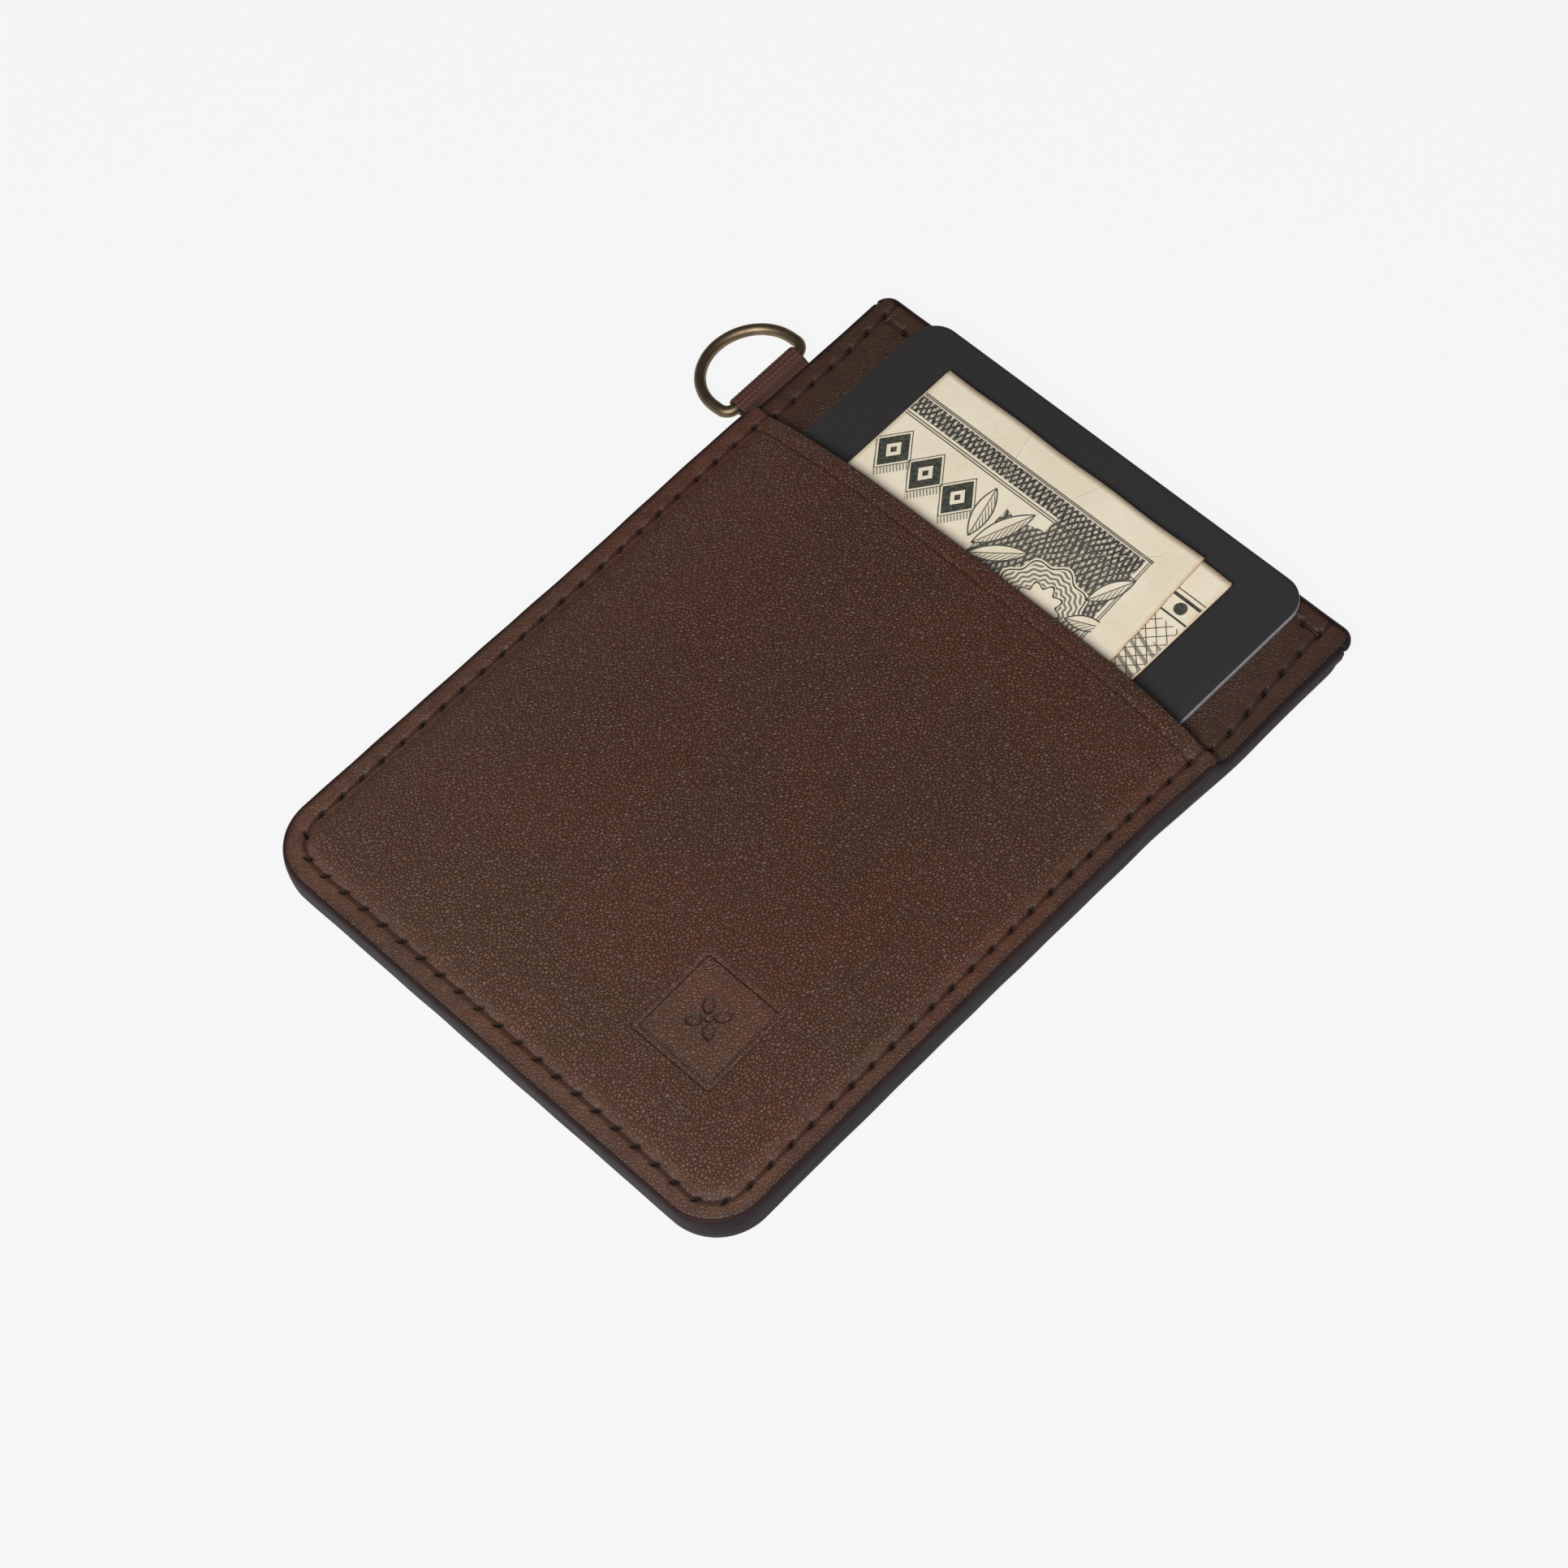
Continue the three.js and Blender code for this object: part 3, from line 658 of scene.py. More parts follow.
def leather_finish(name, tone):
    """Waxed brown leather: cloudy colour, a fine pebble grain, and painted light: a sheen toward the closed
    end, highlights on the pebble tops, and shade in the grain's creases, the seam and the stitch holes.
    """
    f = Finish(name)
    x, y, z = f.axes()
    pushed = f.shifted(0.5, 1.1, f.vector(x * 1.1, y * 0.85, z))
    pebble = (f.cells(2.6, "DISTANCE_TO_EDGE", pushed) * 4.5).min(1.0)
    crown = f.cells(2.6, "F1", pushed).under(0.3, 0.4)
    fine = f.noise(7.0, 2.0, 0.6)
    grain, hole, seam = f.mark("grain"), f.mark("hole"), f.mark("seam")
    press, rim = f.mark("press"), f.mark("rim")
    cloud = f.noise(0.042, 3.0, 0.55, distort=0.7)
    wine = f.noise(0.06, 3.0, 0.55, f.vector(x + 70.0, y, z), 0.5)
    patch = f.noise(0.4, 3.0, 0.55)

    def shade(*colour):
        return tuple(c * tone for c in colour)

    share = (cloud.over(0.5, 0.16) * 0.75 + patch.over(0.5, 0.4) * 0.25).clamp()
    colour = f.mix(share, shade(74, 49, 30), shade(86, 46, 28))
    wine = wine.over(0.52, 0.18) * 0.32 + patch.over(0.6, 0.3) * 0.12
    colour = f.mix(wine.clamp(), colour, shade(86, 44, 37))
    # painted sheen: paler toward the closed end, where the key light's sheen falls on the leather
    colour = f.mix(y.under(-26.0, 34.0) * 0.13, colour, shade(126, 98, 80))
    # paler specks at random and on the smooth bands, and a painted highlight on each pebble's crown
    pale = (fine.over(0.62, 0.25) * 0.1 + crown * grain * 0.15 + (1.0 - grain) * 0.05).clamp()
    colour = f.mix(pale, colour, shade(126, 88, 62))
    # painted shade in the creases between the pebbles, besides darker patches and specks at random
    dark = (1.0 - pebble) * grain * 0.7 + (1.0 - grain) * (patch.over(0.5, 0.25) * 0.35 + 0.1)
    dark = dark + fine.under(0.38, 0.25) * 0.16 + rim * 0.45
    colour = f.mix(dark.clamp(), colour, shade(42, 24, 15))
    # painted shade in the seam groove and the stitch holes; the stamped lines are pressed darker, with
    # painted shade in their narrow grooves too
    colour = f.mix((seam * 0.55 + hole * 1.25 + press * 0.6).clamp(), colour, (20, 10, 6))
    height = pebble * (grain * 1.15 + 0.14) + fine * 0.22
    roughness = 0.54 + (fine - 0.5) * 0.12 + hole * 0.3
    return f.finish(colour, roughness, height, 0.08, Specular_IOR_Level=0.44)


LEATHER_FRONT = leather_finish("waxed_leather", 1.0)
LEATHER_INNER = leather_finish("waxed_leather_under", 0.8)


def lining_finish():
    """A thin dark woven lining."""
    f = Finish("woven_lining")
    x, y, _ = f.axes()
    warp, weft = (x * 14.0).sin().abs(), (y * 14.0).sin().abs()
    colour = f.mix(f.noise(0.4, 3.0), (40, 34, 31), (58, 49, 44))
    return f.finish(colour, 0.85, warp.max(weft), 0.05)


def paint_finish():
    """Dark edge paint laid on by hand, browner where it meets the leather."""
    f = Finish("edge_paint")
    cloud = f.noise(0.5, 3.0, 0.6)
    fine = f.noise(5.0, 2.0, 0.5)
    _, _, z = f.axes()
    layers = ((z + cloud * 0.5) * 5.2).sin() * 0.5 + 0.5
    colour = f.mix((cloud * 0.7 + fine * 0.3).clamp(), (24, 19, 22), (42, 34, 38))
    colour = f.mix((z + cloud * 1.2).over(4.3, 1.6) * 0.75, colour, (54, 33, 26))
    height = cloud * 0.8 + fine * 0.25 + layers * 0.12
    return f.finish(colour, 0.52 + (fine - 0.5) * 0.16, height, 0.06, Specular_IOR_Level=0.1)


def thread_finish():
    """Waxed brown polyester thread."""
    f = Finish("waxed_thread")
    fibre = f.noise(9.0, 2.0, 0.6)
    colour = f.mix(fibre, (34, 19, 12), (72, 43, 30))
    # painted shade on the thread where it goes into its holes
    colour = f.mix(f.mark("hole"), colour, (14, 7, 5))
    return f.finish(colour, 0.75, fibre, 0.03, Specular_IOR_Level=0.25)


def brass_finish():
    """Antique brass: rubbed bright where it is handled, darker in the patina."""
    f = Finish("antique_brass")
    cloud = f.noise(0.45, 3.0, 0.6)
    fine = f.noise(4.0, 3.0, 0.6)
    share = (cloud * 0.6 + fine * 0.4).over(0.5, 0.35)
    colour = f.mix(share, (92, 79, 61), (140, 123, 98))
    return f.finish(colour, 0.4 + (1.0 - share) * 0.12, fine * 0.5 + cloud, 0.006, Metallic=1.0)


def webbing_finish():
    """Ribbed brown webbing, with painted shade between its ribs."""
    f = Finish("brown_webbing")
    rib = f.mark("rib")
    fibre = f.noise(6.0, 3.0, 0.6)
    # darker where the rib dips: painted shade
    shade = (rib * 0.9 + fibre * 0.3 - 0.2).clamp()
    colour = f.mix(shade, (26, 12, 9), (104, 58, 42))
    return f.finish(colour, 0.8, fibre, 0.03)


def card_finish():
    """A charcoal plastic card with a satin face and a paler core."""
    f = Finish("charcoal_card")
    _, _, z = f.axes()
    mottle = f.noise(1.6, 3.0, 0.6)
    tooth = f.noise(11.0, 2.0, 0.5)
    face = f.mix(mottle, (40, 38, 38), (46, 44, 43))
    middle = (CARD_LOW[2] + CARD_HIGH[2]) / 2
    core = z.near(float(middle), 0.36, 0.03)
    core_colour = f.mix(mottle, (150, 152, 162), (186, 188, 198))
    return f.finish(f.mix(core, face, core_colour), 0.46 + (tooth - 0.5) * 0.12, tooth, 0.006)


def leaf_ink(u, v, place, angle, length, width):
    """A printed leaf: its outline, its rib, and fine shading lines. Returns ink and its blank body."""
    c, s = math.cos(math.radians(angle)), math.sin(math.radians(angle))
    du, dv = u - place[0], v - place[1]
    along, across = du * c + dv * s, dv * c - du * s
    share = along * (1 / length)
    half = (share - share * share).max(0.0) * (4 * width)
    gap = half - across.abs()
    body = gap.over(0.0, 0.08)
    span = along.over(0.0) * along.under(length)
    line = gap.abs().under(0.09, 0.08) * span + across.abs().under(0.06, 0.07) * body
    shade = ((across - along * 0.55) * 17.0).sin().over(0.25, 0.5) * across.under(-0.1, 0.5) * body
    return line.max(shade * 0.8).clamp(), body


def note_finish():
    """Cream rag paper with invented engraved ornament: hatching, leaves and a rosette."""
    f = Finish("note_paper")
    u, v = f.mark("print_x"), f.mark("print_y")
    worn = f.mark("worn")
    fibre = f.noise(2.2, 4.0, 0.6)
    stain_and_shade = f.noise(0.16, 3.0, 0.6)
    wave = (u * 1.7).sin() * 0.5 + (v * 1.3 + u * 0.5).sin() * 0.35
    tone = (f.noise(0.5, 2.0, 0.5) - 0.5) * 3.2
    hatch = (((u * 9.5 + v * 3.4) + wave * 2.2).sin() + tone).over(0.1, 0.4)
    cross = (((u * 8.2 - v * 5.2) - wave * 2.0).sin() - tone * 0.6).over(0.25, 0.4)
    fine = ((u * 2.0 + v * 11.0) + wave * 3.0).sin().over(0.3, 0.6)
    engraved = hatch.max(cross).max(fine * 0.5)

    strip = v.over(35.75) * v.under(37.85) * u.over(-30) * u.under(12.1)
    ink = strip * (engraved * 0.75 + 0.25)
    for level in (38.25, 38.05, 35.4, 35.1):
        ink = ink.max(v.near(level, 0.07, 0.07) * u.under(12.9))
    # a row of lozenges along the plain strip, each with a pale heart and a shaded foot
    for k in range(3):
        centre = -17.6 + 4.6 * k
        du, dv = (u - centre).abs(), (v - 30.9).abs()
        size = du * 1.25 + dv
        ink = ink.max(size.under(2.6) * size.over(1.2)).max(size.near(3.0, 0.09, 0.07))
        foot = ((u - centre - 0.5).abs() * 1.25 + (v - 30.2).abs()).under(3.1) * size.over(3.1)
        ink = ink.max(foot * ((u + v) * 13.0).sin().over(0.0, 0.5) * 0.7)
        ink = ink.max(size.under(0.5))
    # the engraved field on the right, with its frame
    field = u.over(-3.4, 0.1) * u.under(12.1) * v.under(35.8)
    edge = (v - 33.3 - (u * 0.9).sin() * 0.4).under(0.0, 0.1)
    field = field * ((u - 1.5).over(0.0, 0.1).max(edge))
    ink = ink.max(field * (engraved * 0.7 + 0.26))
    for level in (12.75, 12.5):
        ink = ink.max(u.near(level, 0.06, 0.07) * v.under(38.3))
    # a rosette of fine waves in the middle of the field
    du, dv = u - 6.6, v - 26.6
    radius = (du * du + dv * dv).op("SQRT")
    turn = dv.op("ARCTAN2", du)
    scallop = (turn * 9.0).sin() * 0.35
    rim = radius - scallop
    ink = ink * rim.over(5.2)
    rings = (radius * 11.0 + (turn * 18.0).sin() * 1.3).sin().over(0.0, 0.6)
    rings = rings * rim.under(4.6) * rim.over(2.6)
    ink = ink.max(rings * 0.8).max(rim.near(4.9, 0.1, 0.07)).max(rim.near(2.4, 0.12, 0.07))
    # a spray of leaves over the join
    for place, angle, length, width in (
        ((-4.4, 28.2), 104, 6.4, 1.0),
        ((-3.6, 27.8), 66, 7.4, 1.05),
        ((-3.2, 26.6), 38, 6.6, 0.95),
        ((10.2, 30.4), 62, 5.6, 0.9),
        ((9.8, 27.4), 24, 4.6, 0.85),
    ):
        line, body = leaf_ink(u, v, place, angle, length, width)
        ink = (ink * (1.0 - body)).max(line)
    ink = ink * u.over(-19.9) * u.under(13.0)
    # what shows of the leaf underneath: bars, a lattice and shading
    w = u - 100.0
    under = w.over(10.0)
    bars = v.near(37.3, 0.2).max(v.near(35.0, 0.12)).max(v.near(38.0, 0.07))
    lattice = ((w + v) * 2.1).sin().abs().under(0.16, 0.12)
    lattice = lattice.max(((w - v) * 2.1).sin().abs().under(0.16, 0.12))
    tint = (w * 2.0 + v * 6.0).sin().over(0.2, 0.5) * v.under(31.5) * 0.7
    du, dv = w - 18.4, v - 36.2
    blot = (du * du + dv * dv).op("SQRT").under(0.75, 0.1)
    below = bars.max(blot).max(lattice * v.under(34.2)).max(tint)
    ink = ink.max(below * under * w.under(20.2)).clamp()
    ink = ink * (0.82 + fibre * 0.3).clamp()
    paper = f.mix(stain_and_shade.over(0.5, 0.5), (232, 221, 198), (219, 206, 180))
    paper = f.mix((fibre - 0.45).clamp() * 0.8, paper, (206, 190, 160))
    paper = f.mix((worn * (0.3 + fibre * 0.4)).clamp(), paper, (186, 140, 96))
    colour = f.mix(ink, paper, (40, 42, 38))
    return f.finish(colour, 0.82, fibre + ink * 0.25, 0.03)


LINING = lining_finish()
PAINT_FINISH = paint_finish()
THREAD = thread_finish()
BRASS = brass_finish()
WEBBING = webbing_finish()
PLASTIC = card_finish()
PAPER = note_finish()


# ---- Camera, lights and floor ----


def aim(obj, place, target, roll=0.0):
    """Puts an object at a place, looking at a target."""
    place, target = Vector(place), Vector(target)
    turn = (target - place).to_track_quat("-Z", "Y").to_matrix()
    obj.rotation_mode = "QUATERNION"
    obj.location = place
    obj.rotation_quaternion = (turn @ Matrix.Rotation(roll, 3, "Z")).to_quaternion()


# Fitted to the photo: the card's and the stamp's edges, with the card's size as the scale
CAMERA_PLACE, CAMERA_TARGET = (0.21427, -0.14441, 0.42709), (0.00156, -0.00477, 0.003)
CAMERA_ROLL = math.radians(-13.54)
LENS, SENSOR = 112.5, 36
KEY_PLACE, KEY_SIZE, KEY_WATTS = (0.16, -0.26, 0.42), (0.32, 0.26), 3.5
SKY, SKY_STRENGTH = (0.93, 0.95, 1.0, 1), 0.12
FLOOR_REACH, FLOOR_LEVEL = 1.5, -0.00002
FLOOR_TONE, FLOOR_GLOW = 0.03, 0.89

camera_data = bpy.data.cameras.new("camera")
camera = in_scene("camera", camera_data)
bpy.context.scene.camera = camera
camera_data.lens = LENS
camera_data.sensor_width = SENSOR
camera_data.clip_start = 0.01
aim(camera, CAMERA_PLACE, CAMERA_TARGET, CAMERA_ROLL)

softbox = bpy.data.lights.new("key_softbox", "AREA")
softbox.shape = "RECTANGLE"
softbox.size, softbox.size_y = KEY_SIZE
softbox.energy = KEY_WATTS
aim(in_scene("key_softbox", softbox), KEY_PLACE, (0, 0, 0))

world = bpy.data.worlds.new("studio")
bpy.context.scene.world = world
world.use_nodes = True
for socket, value in zip(world.node_tree.nodes["Background"].inputs, (SKY, SKY_STRENGTH)):
    feed(socket, value)
bpy.context.scene.view_settings.view_transform = "Standard"

floor_mesh = bpy.data.meshes.new("floor")
corners = [(-1, -1), (1, -1), (1, 1), (-1, 1)]
corners = [(x * FLOOR_REACH, y * FLOOR_REACH, FLOOR_LEVEL) for x, y in corners]
floor_mesh.from_pydata(corners, [], [(0, 1, 2, 3)])
floor = in_scene("floor", floor_mesh)
floor_material = bpy.data.materials.new("pale_floor")
floor_material.use_nodes = True
floor_shader = floor_material.node_tree.nodes["Principled BSDF"]
for name, value in (
    ("Base Color", (FLOOR_TONE, FLOOR_TONE, FLOOR_TONE, 1)),
    ("Specular IOR Level", 0.0),
    ("Roughness", 1.0),
    ("Emission Color", (1, 1, 1, 1)),
    ("Emission Strength", FLOOR_GLOW),
):
    feed(floor_shader.inputs[name], value)
floor_mesh.materials.append(floor_material)


# ---- Leather panels ----


verts, faces = slab(
    pocket_loop(),
    pocket_points(),
    panel_grid(LIP_Y, 1.6, lambda x, y: (locate(x, y)[0] > 1.2) & (y < lip_at(x) - 1.2)),
    pocket_top,
    pocket_under,
)
x, y = verts[:, 0], verts[:, 1]
inset, _ = locate(x, y)
_, hole, groove = rim_marks(x, y)
pocket = piece(
    "pocket_leather", settle(verts), faces, LEATHER_FRONT, "wallet_body", "front_pocket_panel"
)
_, press = stamp_sink(x, y)
grain = 0.3 + 0.7 * ease((inset - 2.6) / 1.8)
stamped = np.maximum(np.abs(x - STAMP_X), np.abs(y - STAMP_Y))
grain = grain * (1 - 0.45 * ease((STAMP_OUTER + 0.2 - stamped) / 0.4))
upper = verts[:, 2] > POCKET_LOW + 0.4
rim = ease((1.15 - inset) / 0.6)
marks(pocket, hole=hole, seam=groove, grain=grain, press=press * upper, rim=rim)


def panel_points(start):
    """Points for a panel sewn all round: dense along the stitches, plain elsewhere."""
    points = [p for p in seam_points(HALF_HEIGHT - 4) if p[1] > start]
    upper = HALF_HEIGHT - 3.9
    for inset in SEAM_INSETS:
        across = np.arange(3.9 - HALF_WIDTH, HALF_WIDTH - 3.9, 0.15 if inset > 1.8 else 0.3)
        points += [(x, HALF_HEIGHT - inset) for x in across]
    for side in (-1, 1):
        ends = sorted((side * (HALF_WIDTH - 3.95), side * (HALF_WIDTH - 0.6)))
        points += grid_points(*ends, upper, HALF_HEIGHT - 0.6, 0.13, everywhere)

    def plain(x, y):
        gap = np.minimum(locate(x, y)[0], HALF_HEIGHT - y)
        return (gap > 4.0) & (y > start)

    points += panel_grid(HALF_HEIGHT, 0.7, plain)
    return within(points, TOP_RADIUS if start > 0 else BACK_TOP_RADIUS)


def within(points, radius):
    """Only the points that lie inside the panel's rounded top corners."""
    p = np.array(sorted(set((round(a, 4), round(b, 4)) for a, b in points)))
    cx, cy = np.abs(p[:, 0]) - (HALF_WIDTH - radius), p[:, 1] - (HALF_HEIGHT - radius)
    outside = (cx > 0) & (cy > 0) & (np.hypot(cx, cy) > radius - PANEL_INSET - 0.08)
    return [tuple(q) for q in p[~outside]]


def sewn_panel(name, node, radius, start, outer_z, inner, material, flip):
    """A panel sewn all round, flat inside at one height, with its stitches showing beyond start."""
    loop = rim_path(PANEL_INSET, HALF_HEIGHT - radius, radius, 0.3, True)
    coarse = panel_grid(HALF_HEIGHT - 1.2, 2.5, lambda x, y: locate(x, y)[0] > 1.2)
    verts, faces = slab(
        loop,
        panel_points(start),
        within(coarse, radius),
        outer_z,
        lambda x, y: np.full_like(x, inner),
        flip,
    )
    _, hole, groove, edge = panel_marks(verts[:, 0], verts[:, 1], start)
    made = piece(name, settle(verts), faces, material, "wallet_body", node)
    rim = ease((1.1 - edge) / 0.6)
    marks(made, hole=hole, seam=groove, grain=0.2 + 0.2 * ease((edge - 3) / 3), rim=rim)


front = (TOP_RADIUS, LIP_Y - 2, main_top, MAIN_LOW, LEATHER_INNER, False)
back = (BACK_TOP_RADIUS, -HALF_HEIGHT, back_face, BACK_TOP, LEATHER_FRONT, True)
sewn_panel("front_leather", "front_main_panel", *front)
sewn_panel("back_leather", "back_main_panel", *back)
for name in ("back_lining", "front_lining"):
    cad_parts[name].data.materials.clear()
    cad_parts[name].data.materials.append(LINING)


# ---- Edge paint ----
FRONT_PAINT_LOW = cad("front_top_edge_paint")[0][2]
BACK_PAINT_HIGH = cad("back_top_edge_paint")[1][2]
PAINT_FOOT, PAINT_TOP = 0.08, MAIN_TOP - 0.06
PAINT_DEPTH = 0.42


def paint_bead(path, low, high, radius_low, slot=None):
    """A bead of paint along a path on the outline, from its low to its high level."""
    path = np.array(path, float)
    out = -left_of(path)
    count = len(path)
    length = run_length(path)
    low, high = np.broadcast_to(low, count), np.broadcast_to(high, count)
    rows = []
    for turn in np.linspace(-1, 1, 23):
        level = (low + high) / 2 + (high - low) / 2 * np.sign(turn) * abs(turn) ** 0.9
        # rounded at both ends, fuller in the middle, and uneven as hand-laid paint is
        end_gap = np.minimum(high - level, level - low)
        roll = np.clip(1 - end_gap / 0.75, 0, 1)
        inset = PAINT_DEPTH * quarter_round(roll) + 0.05 * (1 - np.cos(turn * 3))
        inset = inset + 0.035 * ripple(length, level * 4, 5, 11) - 0.02
        inset = np.clip(inset, 0.0, PAINT_DEPTH)
        if slot is not None:
            y0, y1, z0, z1 = slot
            cut = (path[:, 0] < 0) & (path[:, 1] > y0) & (path[:, 1] < y1)
            cut = cut & (level > z0) & (level < z1)
            inset = np.where(cut, PAINT_DEPTH - 0.05, inset)
        # the lower layers turn the top corners with a wider radius than the upper ones
        rise = path[:, 1] - (HALF_HEIGHT - radius_low)
        wide = radius_low - np.sqrt(np.clip(radius_low**2 - np.clip(rise, 0, None) ** 2, 0, None))
        inset = inset + wide * ease((FRONT_PAINT_LOW - level) / (FRONT_PAINT_LOW - BACK_PAINT_HIGH))
        rows.append(np.column_stack([path - out * inset[:, None], level]))
    lowest, highest = rows[0], rows[-1]
    for source, shift in ((highest, -0.3), (lowest, 0.12)):
        inner = source.copy()
        inner[:, :2] = path - out * (PAINT_DEPTH + 0.01)
        inner[:, 2] += shift
        rows.append(inner)
    return np.stack(rows, 1).reshape(-1, 3), loft(count, len(rows), True)


side_path = rim_path(0, PAINT_HIGH[1], 0, 0.3, False)
side_y = np.array(side_path)[:, 1]
step = ease((LIP_Y + 0.9 - side_y) / 2.6)
side_top = PAINT_TOP + (RIM_TOP - MAIN_TOP) * step
tab_slot = (TAB_LOW[1] - 0.2, TAB_HIGH[1] + 0.2, BACK_TOP, MAIN_LOW)
verts, faces = paint_bead(side_path, PAINT_FOOT, side_top, BACK_TOP_RADIUS, tab_slot)
piece("rim_paint", settle(verts), faces, PAINT_FINISH, "wallet_body", "side_edge_paint")


def top_path(radius):
    """The outline from the right side over the top to the left side."""
    whole = np.array(rim_path(0, HALF_HEIGHT - radius, radius, 0.25, True))
    run = whole[np.argmax((whole[:, 0] > 0) & (whole[:, 1] >= HALF_HEIGHT - radius - 0.01)) :]
    return run[run[:, 1] > PAINT_HIGH[1] + 0.06]


for name, node, radius, low, high in (
    ("front_top_paint", "front_top_edge_paint", TOP_RADIUS, FRONT_PAINT_LOW, PAINT_TOP),
    ("back_top_paint", "back_top_edge_paint", BACK_TOP_RADIUS, PAINT_FOOT, BACK_PAINT_HIGH),
):
    verts, faces = paint_bead(top_path(radius), low, high, 0.01)
    piece(name, settle(verts), faces, PAINT_FINISH, "wallet_body", node)


# ---- Thread ----


def lean(along, pitch):
    """Each stitch slants a little across its row."""
    share = along / pitch - np.floor(along / pitch)
    return 0.1 * np.sin(2 * math.pi * share) * (1 - np.abs(2 * share - 1) ** 6)


def row_thread(name, node, x, y, along, pitch, level, under=False):
    """One row of stitches as a laid thread, diving into its holes, with painted shade where it goes in."""
    share = np.abs(2 * (along / pitch - np.floor(along / pitch)) - 1)
    dive = 0.2 + 0.6 * share**7
    path = np.column_stack([x, y, level + dive if under else level - dive])
    verts, faces = tube(path, THREAD_RADIUS, THREAD_SIDES, twist=9.0, plies=3, depth=0.12)
    made = piece(name, settle(verts), faces, THREAD, "wallet_body", node)
    marks(made, hole=np.repeat(share**3, THREAD_SIDES))


THREAD_SIDES = 8
UNDER_LEVEL = 0.06
along = np.arange(0, SEAM_LENGTH + 0.01, PITCH / 16)
x, y = seam_xy(along)
on_pocket = ease((lip_at(x) + 0.35 - y) / 0.7)
surface = MAIN_TOP + (RIM_TOP - MAIN_TOP) * on_pocket
x = x + lean(along, PITCH) * np.sign(x)
row_thread("needle_stitches", "needle_thread", x, y, along, PITCH, surface)
row_thread("bobbin_stitches", "bobbin_thread", x, y, along, PITCH, UNDER_LEVEL, True)
along = np.arange(0, 2 * TOP_SEAM_X + 0.01, TOP_PITCH / 16)
along = along[np.abs(along - TOP_SEAM_X) < TOP_SEAM_X - 0.4]
x = along - TOP_SEAM_X
y = top_row_y(x) + lean(along, TOP_PITCH)
row_thread("front_top_stitches", "front_top_thread", x, y, along, TOP_PITCH, MAIN_TOP)
row_thread("back_top_stitches", "back_top_thread", x, y, along, TOP_PITCH, UNDER_LEVEL, True)


# ---- Card ----


def rounded_box(low, high, radius, bevel, corner_steps):
    """A thin plate with rounded corners and softened edges."""
    cx, cy = (low[0] + high[0]) / 2, (low[1] + high[1]) / 2
    hx, hy = (high[0] - low[0]) / 2, (high[1] - low[1]) / 2
    rings = [(0.5, low[2]), (bevel, low[2]), (bevel * 0.3, low[2] + bevel * 0.3), (0, low[2] + bevel)]
    rings += [(inset, low[2] + high[2] - z) for inset, z in reversed(rings)]
    verts = []
    for inset, z in rings:
        r = radius - inset
        for quarter, (sx, sy) in enumerate(((1, -1), (1, 1), (-1, 1), (-1, -1))):
            x, y = cx + sx * (hx - radius), cy + sy * (hy - radius)
            turns = [math.pi / 2 * (quarter - 1 + i / corner_steps) for i in range(corner_steps + 1)]
            verts += [(*point, z) for point in arc(x, y, r, turns)]
    return verts, loft(len(rings), 4 * (corner_steps + 1))


CARD_RADIUS, CARD_BEVEL = 3.18, 0.07
verts, faces = rounded_box(CARD_LOW, CARD_HIGH, CARD_RADIUS, CARD_BEVEL, 14)
piece("plain_card", verts, faces, PLASTIC, "card", "charcoal_card")


# ---- Note ----
PAPER_HALF = 0.06
LEAF_PITCH = 0.2
FRONT_RIGHT = 16.8  # the free edges of the top leaf and the bottom one
BACK_RIGHT = 19.3


def note_section():
    """The folded note seen from its end: points, and which leaf each is on."""
    left, right, radius = NOTE_LOW[0] + PAPER_HALF, NOTE_HIGH[0] - PAPER_HALF, LEAF_PITCH / 2
    base = NOTE_LOW[2] + PAPER_HALF
    points = []
    starts = [BACK_RIGHT, left + radius, right - radius, left + radius]
    ends = [left + radius, right - radius, left + radius, FRONT_RIGHT]
    for leaf in range(4):
        z = base + leaf * LEAF_PITCH
        steps = np.linspace(starts[leaf], ends[leaf], 75)
        points += [(x, z, leaf) for x in steps]
        if leaf < 3:
            side = -1 if leaf % 2 == 0 else 1
            for turn in np.linspace(-math.pi / 2, math.pi / 2, 8)[1:-1]:
                x = ends[leaf] + side * radius * math.cos(turn)
                points.append((x, z + radius + radius * math.sin(turn), leaf + 0.5))
    return np.array(points)


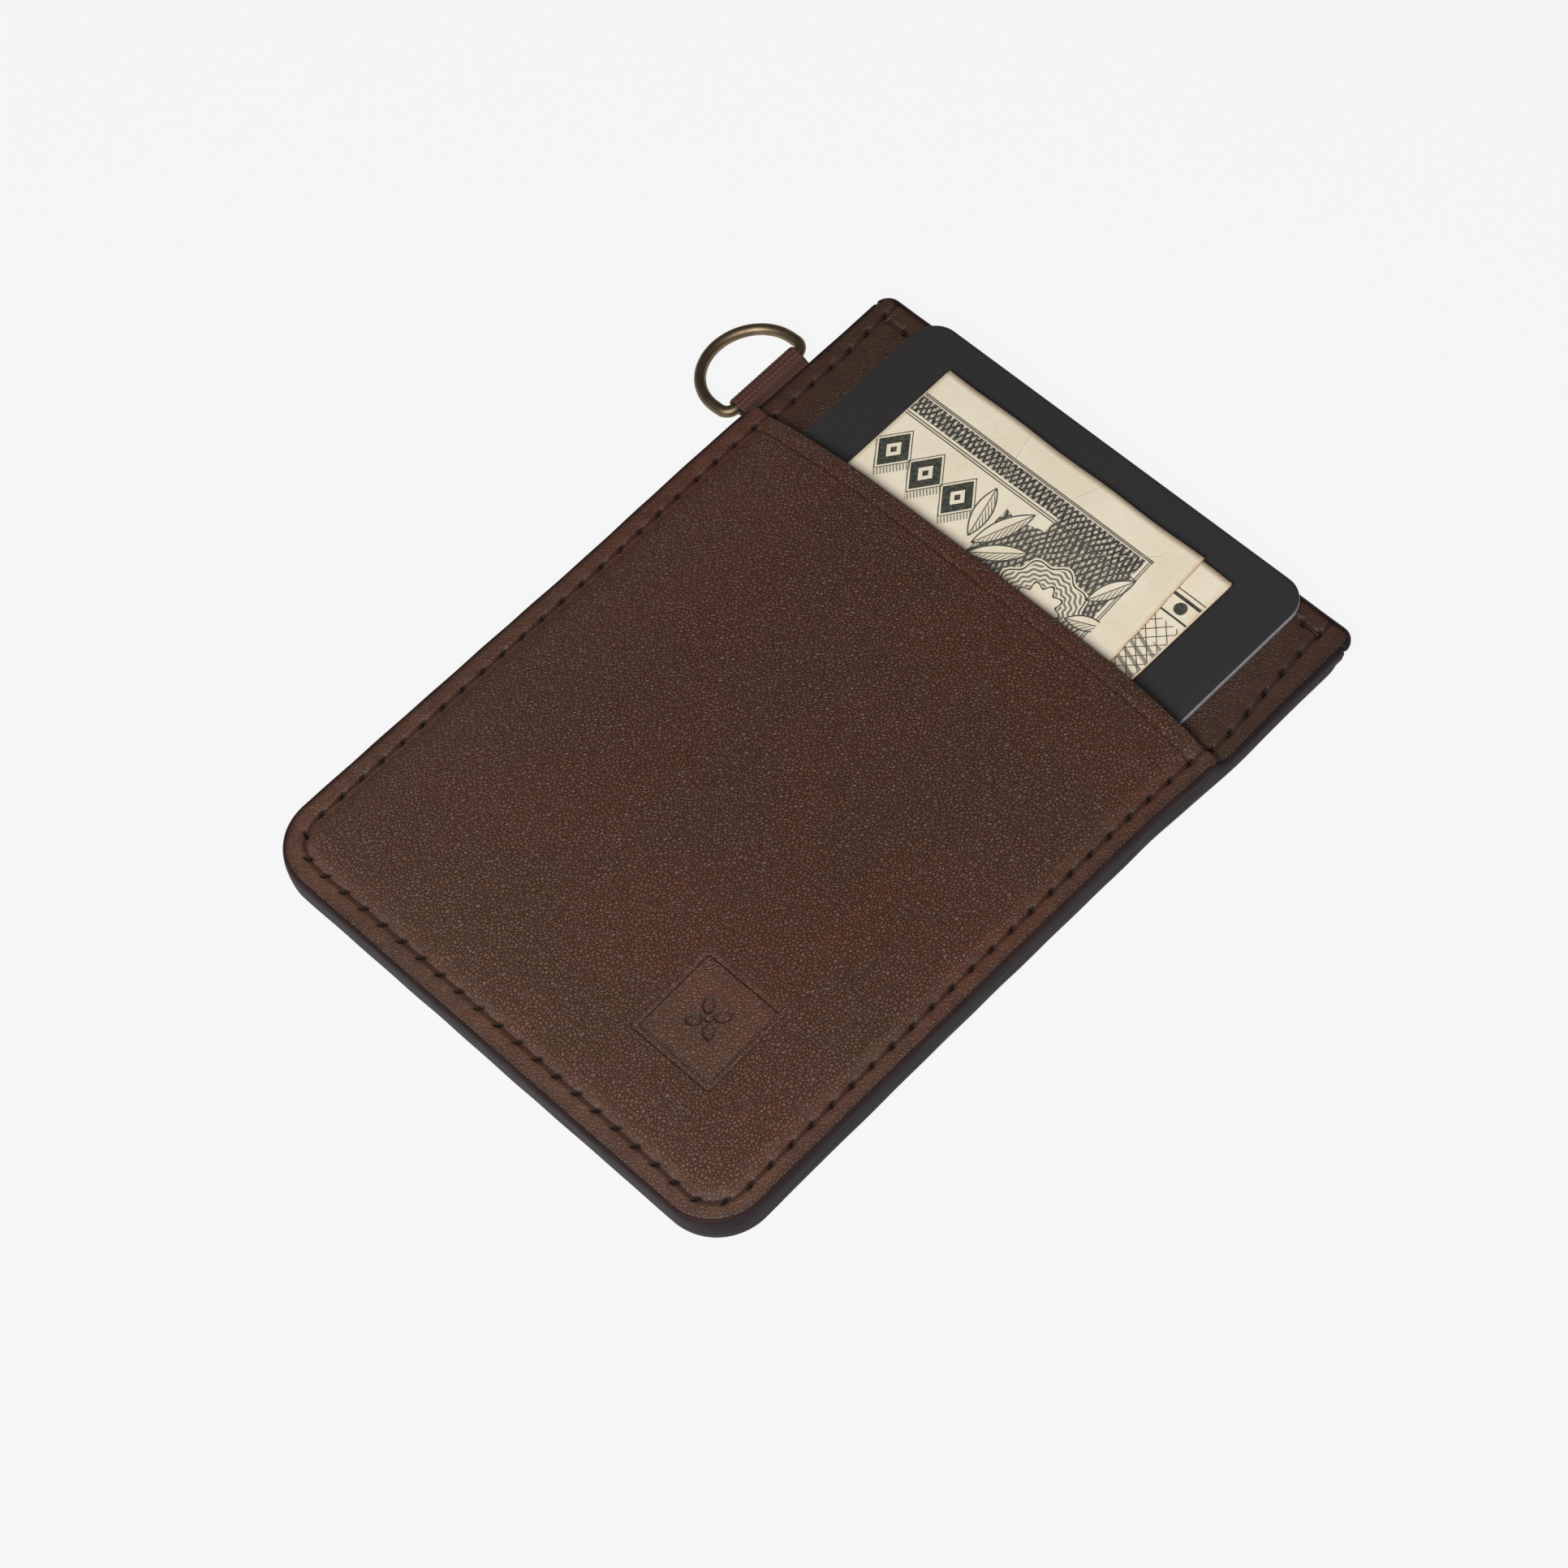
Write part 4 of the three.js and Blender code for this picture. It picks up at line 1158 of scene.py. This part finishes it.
section = note_section()
normal = left_of(section[:, :2])
rows_y = np.concatenate([np.arange(NOTE_LOW[1], 22, 3.0), np.arange(22, NOTE_HIGH[1] + 0.01, 0.4)])
rows_y[-1] = NOTE_HIGH[1]
count = len(section)
verts, print_x, print_y, worn = [], [], [], []
leaf = section[:, 2]
top_of_leaf = -0.32 * ease((2.4 - leaf) / 0.8) - 0.1 * ease((1.4 - leaf) / 0.8)
for side in (1, -1):
    for y in rows_y:
        share = ease((y - NOTE_LOW[1]) / (NOTE_HIGH[1] - NOTE_LOW[1]))
        x = section[:, 0] + normal[:, 0] * PAPER_HALF * side
        z = section[:, 1] + normal[:, 1] * PAPER_HALF * side
        front = ease((leaf - 2.6) / 0.4)
        reach = np.clip((x - NOTE_LOW[0]) / 36, 0, 1)
        slant = front * reach * (0.075 * min(NOTE_HIGH[1] - y, 20) - 0.55)
        lift = front * (0.05 + 0.16 * reach**2 + 0.05 * np.sin(x * 0.32 + 0.5) * ease(reach * 4))
        wave = ease((leaf - 1.6) / 0.4) * ease(reach * 5) * ease((20.2 - x) / 2)
        lift = lift + 0.05 * np.sin(x * 0.21 + y * 0.09) * wave
        # inside the pocket the leaves lie close, and the lower end is pressed thin
        lift = lift * ease((y - 8) / 12)
        z = NOTE_LOW[2] + (z - NOTE_LOW[2]) * (1 - 0.42 * ease((-12 - y) / 12.3))
        nick = 0.09 * ripple(y * np.ones(count), x * 0.2, 1.6, 31) * ease((leaf - 1.7) / 0.3) * ease(x - 16)
        yy = y + top_of_leaf * share + 0.05 * np.sin(x * 0.5) * (y > 41)
        verts.append(np.column_stack([x + slant + nick, yy, z + lift]))
        upper = (leaf > 2.99) & (side > 0)
        second = (np.abs(leaf - 2) < 0.01) & (side < 0)
        print_x.append(np.where(upper, x, np.where(second, x + 100, -200)))
        print_y.append(np.full(count, y))
        fold = np.clip(1 - np.abs(section[:, 0] - NOTE_LOW[0]) / 0.35, 0, 1)
        cut = np.clip(1 - (NOTE_HIGH[1] - y) / 0.42, 0, 1)
        free = np.clip(1 - (FRONT_RIGHT - section[:, 0]) / 0.5, 0, 1) * (leaf > 2.9)
        far = np.clip(1 - (NOTE_HIGH[0] - section[:, 0]) / 0.3, 0, 1)
        worn.append(np.clip(np.maximum.reduce([fold, np.full(count, cut), free, far]), 0, 1))
faces = folded_faces(count, len(rows_y))
note = piece("folded_note", np.vstack(verts), faces, PAPER, "note", "folded_banknote")
marks(note, print_x=np.concatenate(print_x), print_y=np.concatenate(print_y), worn=np.concatenate(worn))


# ---- Webbing tab ----
WIRE_RADIUS = 0.65
BAR_X = -35.75
BAR_Z = (BACK_TOP + MAIN_LOW) / 2
WEBBING_HALF = 0.16
PLY_OFFSET = 0.175
RIB_PITCH = 0.5
TAB_Y = (TAB_LOW[1] + TAB_HIGH[1]) / 2


def tab_section():
    """The tab seen from its end: one ply in, round the ring's bar, and back out on the other."""
    radius = WIRE_RADIUS + 0.1 + WEBBING_HALF
    opening = math.radians(46)
    neck = BAR_X + 2.3 * radius
    lower = [(x, BAR_Z - PLY_OFFSET) for x in np.linspace(TAB_HIGH[0], neck, 50)]
    loop = arc(BAR_X, BAR_Z, radius, np.linspace(-opening, opening - 2 * math.pi, 62))
    upper = [(x, BAR_Z + PLY_OFFSET) for x in np.linspace(neck, TAB_HIGH[0], 50)]
    points = np.array(lower + loop + upper)
    for _ in range(6):
        points[1:-1] = (points[:-2] + 2 * points[1:-1] + points[2:]) / 4
    return points


section = tab_section()
normal = left_of(section)
row = run_length(section) / RIB_PITCH
across = np.linspace(-1, 1, 97)
half_width = (TAB_HIGH[1] - TAB_LOW[1]) / 2
verts, rib = [], []
for side in (1, -1):
    for share in across:
        y = half_width * share
        dash = np.cos(2 * math.pi * (y / RIB_PITCH + 0.5 * np.floor(row)))
        ribbing = np.abs(np.sin(math.pi * row)) ** 0.6 * (0.72 + 0.28 * dash)
        edge = np.clip((1 - abs(share)) / 0.05, 0, 1)
        thick = WEBBING_HALF * (0.6 + 0.4 * math.sqrt(edge)) + 0.06 * ribbing - 0.045
        pull = 0.12 * np.exp(-(((section[:, 0] - BAR_X - 2.2) / 0.9) ** 2))
        x = section[:, 0] + side * normal[:, 0] * thick
        z = section[:, 1] + side * normal[:, 1] * thick
        verts.append(np.column_stack([x, TAB_Y + y * (1 - 0.25 * pull), z]))
        rib.append(ribbing)
faces = folded_faces(len(section), len(across))
tab = piece("webbing_tab", np.vstack(verts), faces, WEBBING, "wallet_body", "ring_tab")
marks(tab, rib=np.concatenate(rib))


# ---- D-ring ----
RING_HALF, RING_CORNER, RING_REACH = 5.8, 1.3, 7.9
RING_GAP = 0.1  # each side of the butt joint


def ring_path():
    """The wire's line: a bar, two rounded corners, short legs and a half-round bow."""
    half, corner, reach, gap = RING_HALF, RING_CORNER, RING_REACH, RING_GAP
    points = [(0, y) for y in np.linspace(gap, half - corner, 16, endpoint=False)]
    turns = np.linspace(0, math.pi / 2, 12, endpoint=False)
    points += arc(-corner, half - corner, corner, turns)
    bow = half - reach
    points += [(x, half) for x in np.linspace(-corner, bow, 6, endpoint=False)]
    points += arc(bow, 0, half, np.linspace(math.pi / 2, math.pi, 40))
    points += [(x, -y) for x, y in points[-2::-1]]
    points = np.array(points)
    tilt = -math.asin((BAR_Z - WIRE_RADIUS - 0.05) / reach)
    x, y = points[:, 0], points[:, 1]
    return np.column_stack([BAR_X + x * math.cos(tilt), TAB_Y + y, BAR_Z - x * math.sin(tilt)])


verts, faces = tube(ring_path(), WIRE_RADIUS, 28)
piece("ring_wire", verts, faces, BRASS, "ring", "d_ring")
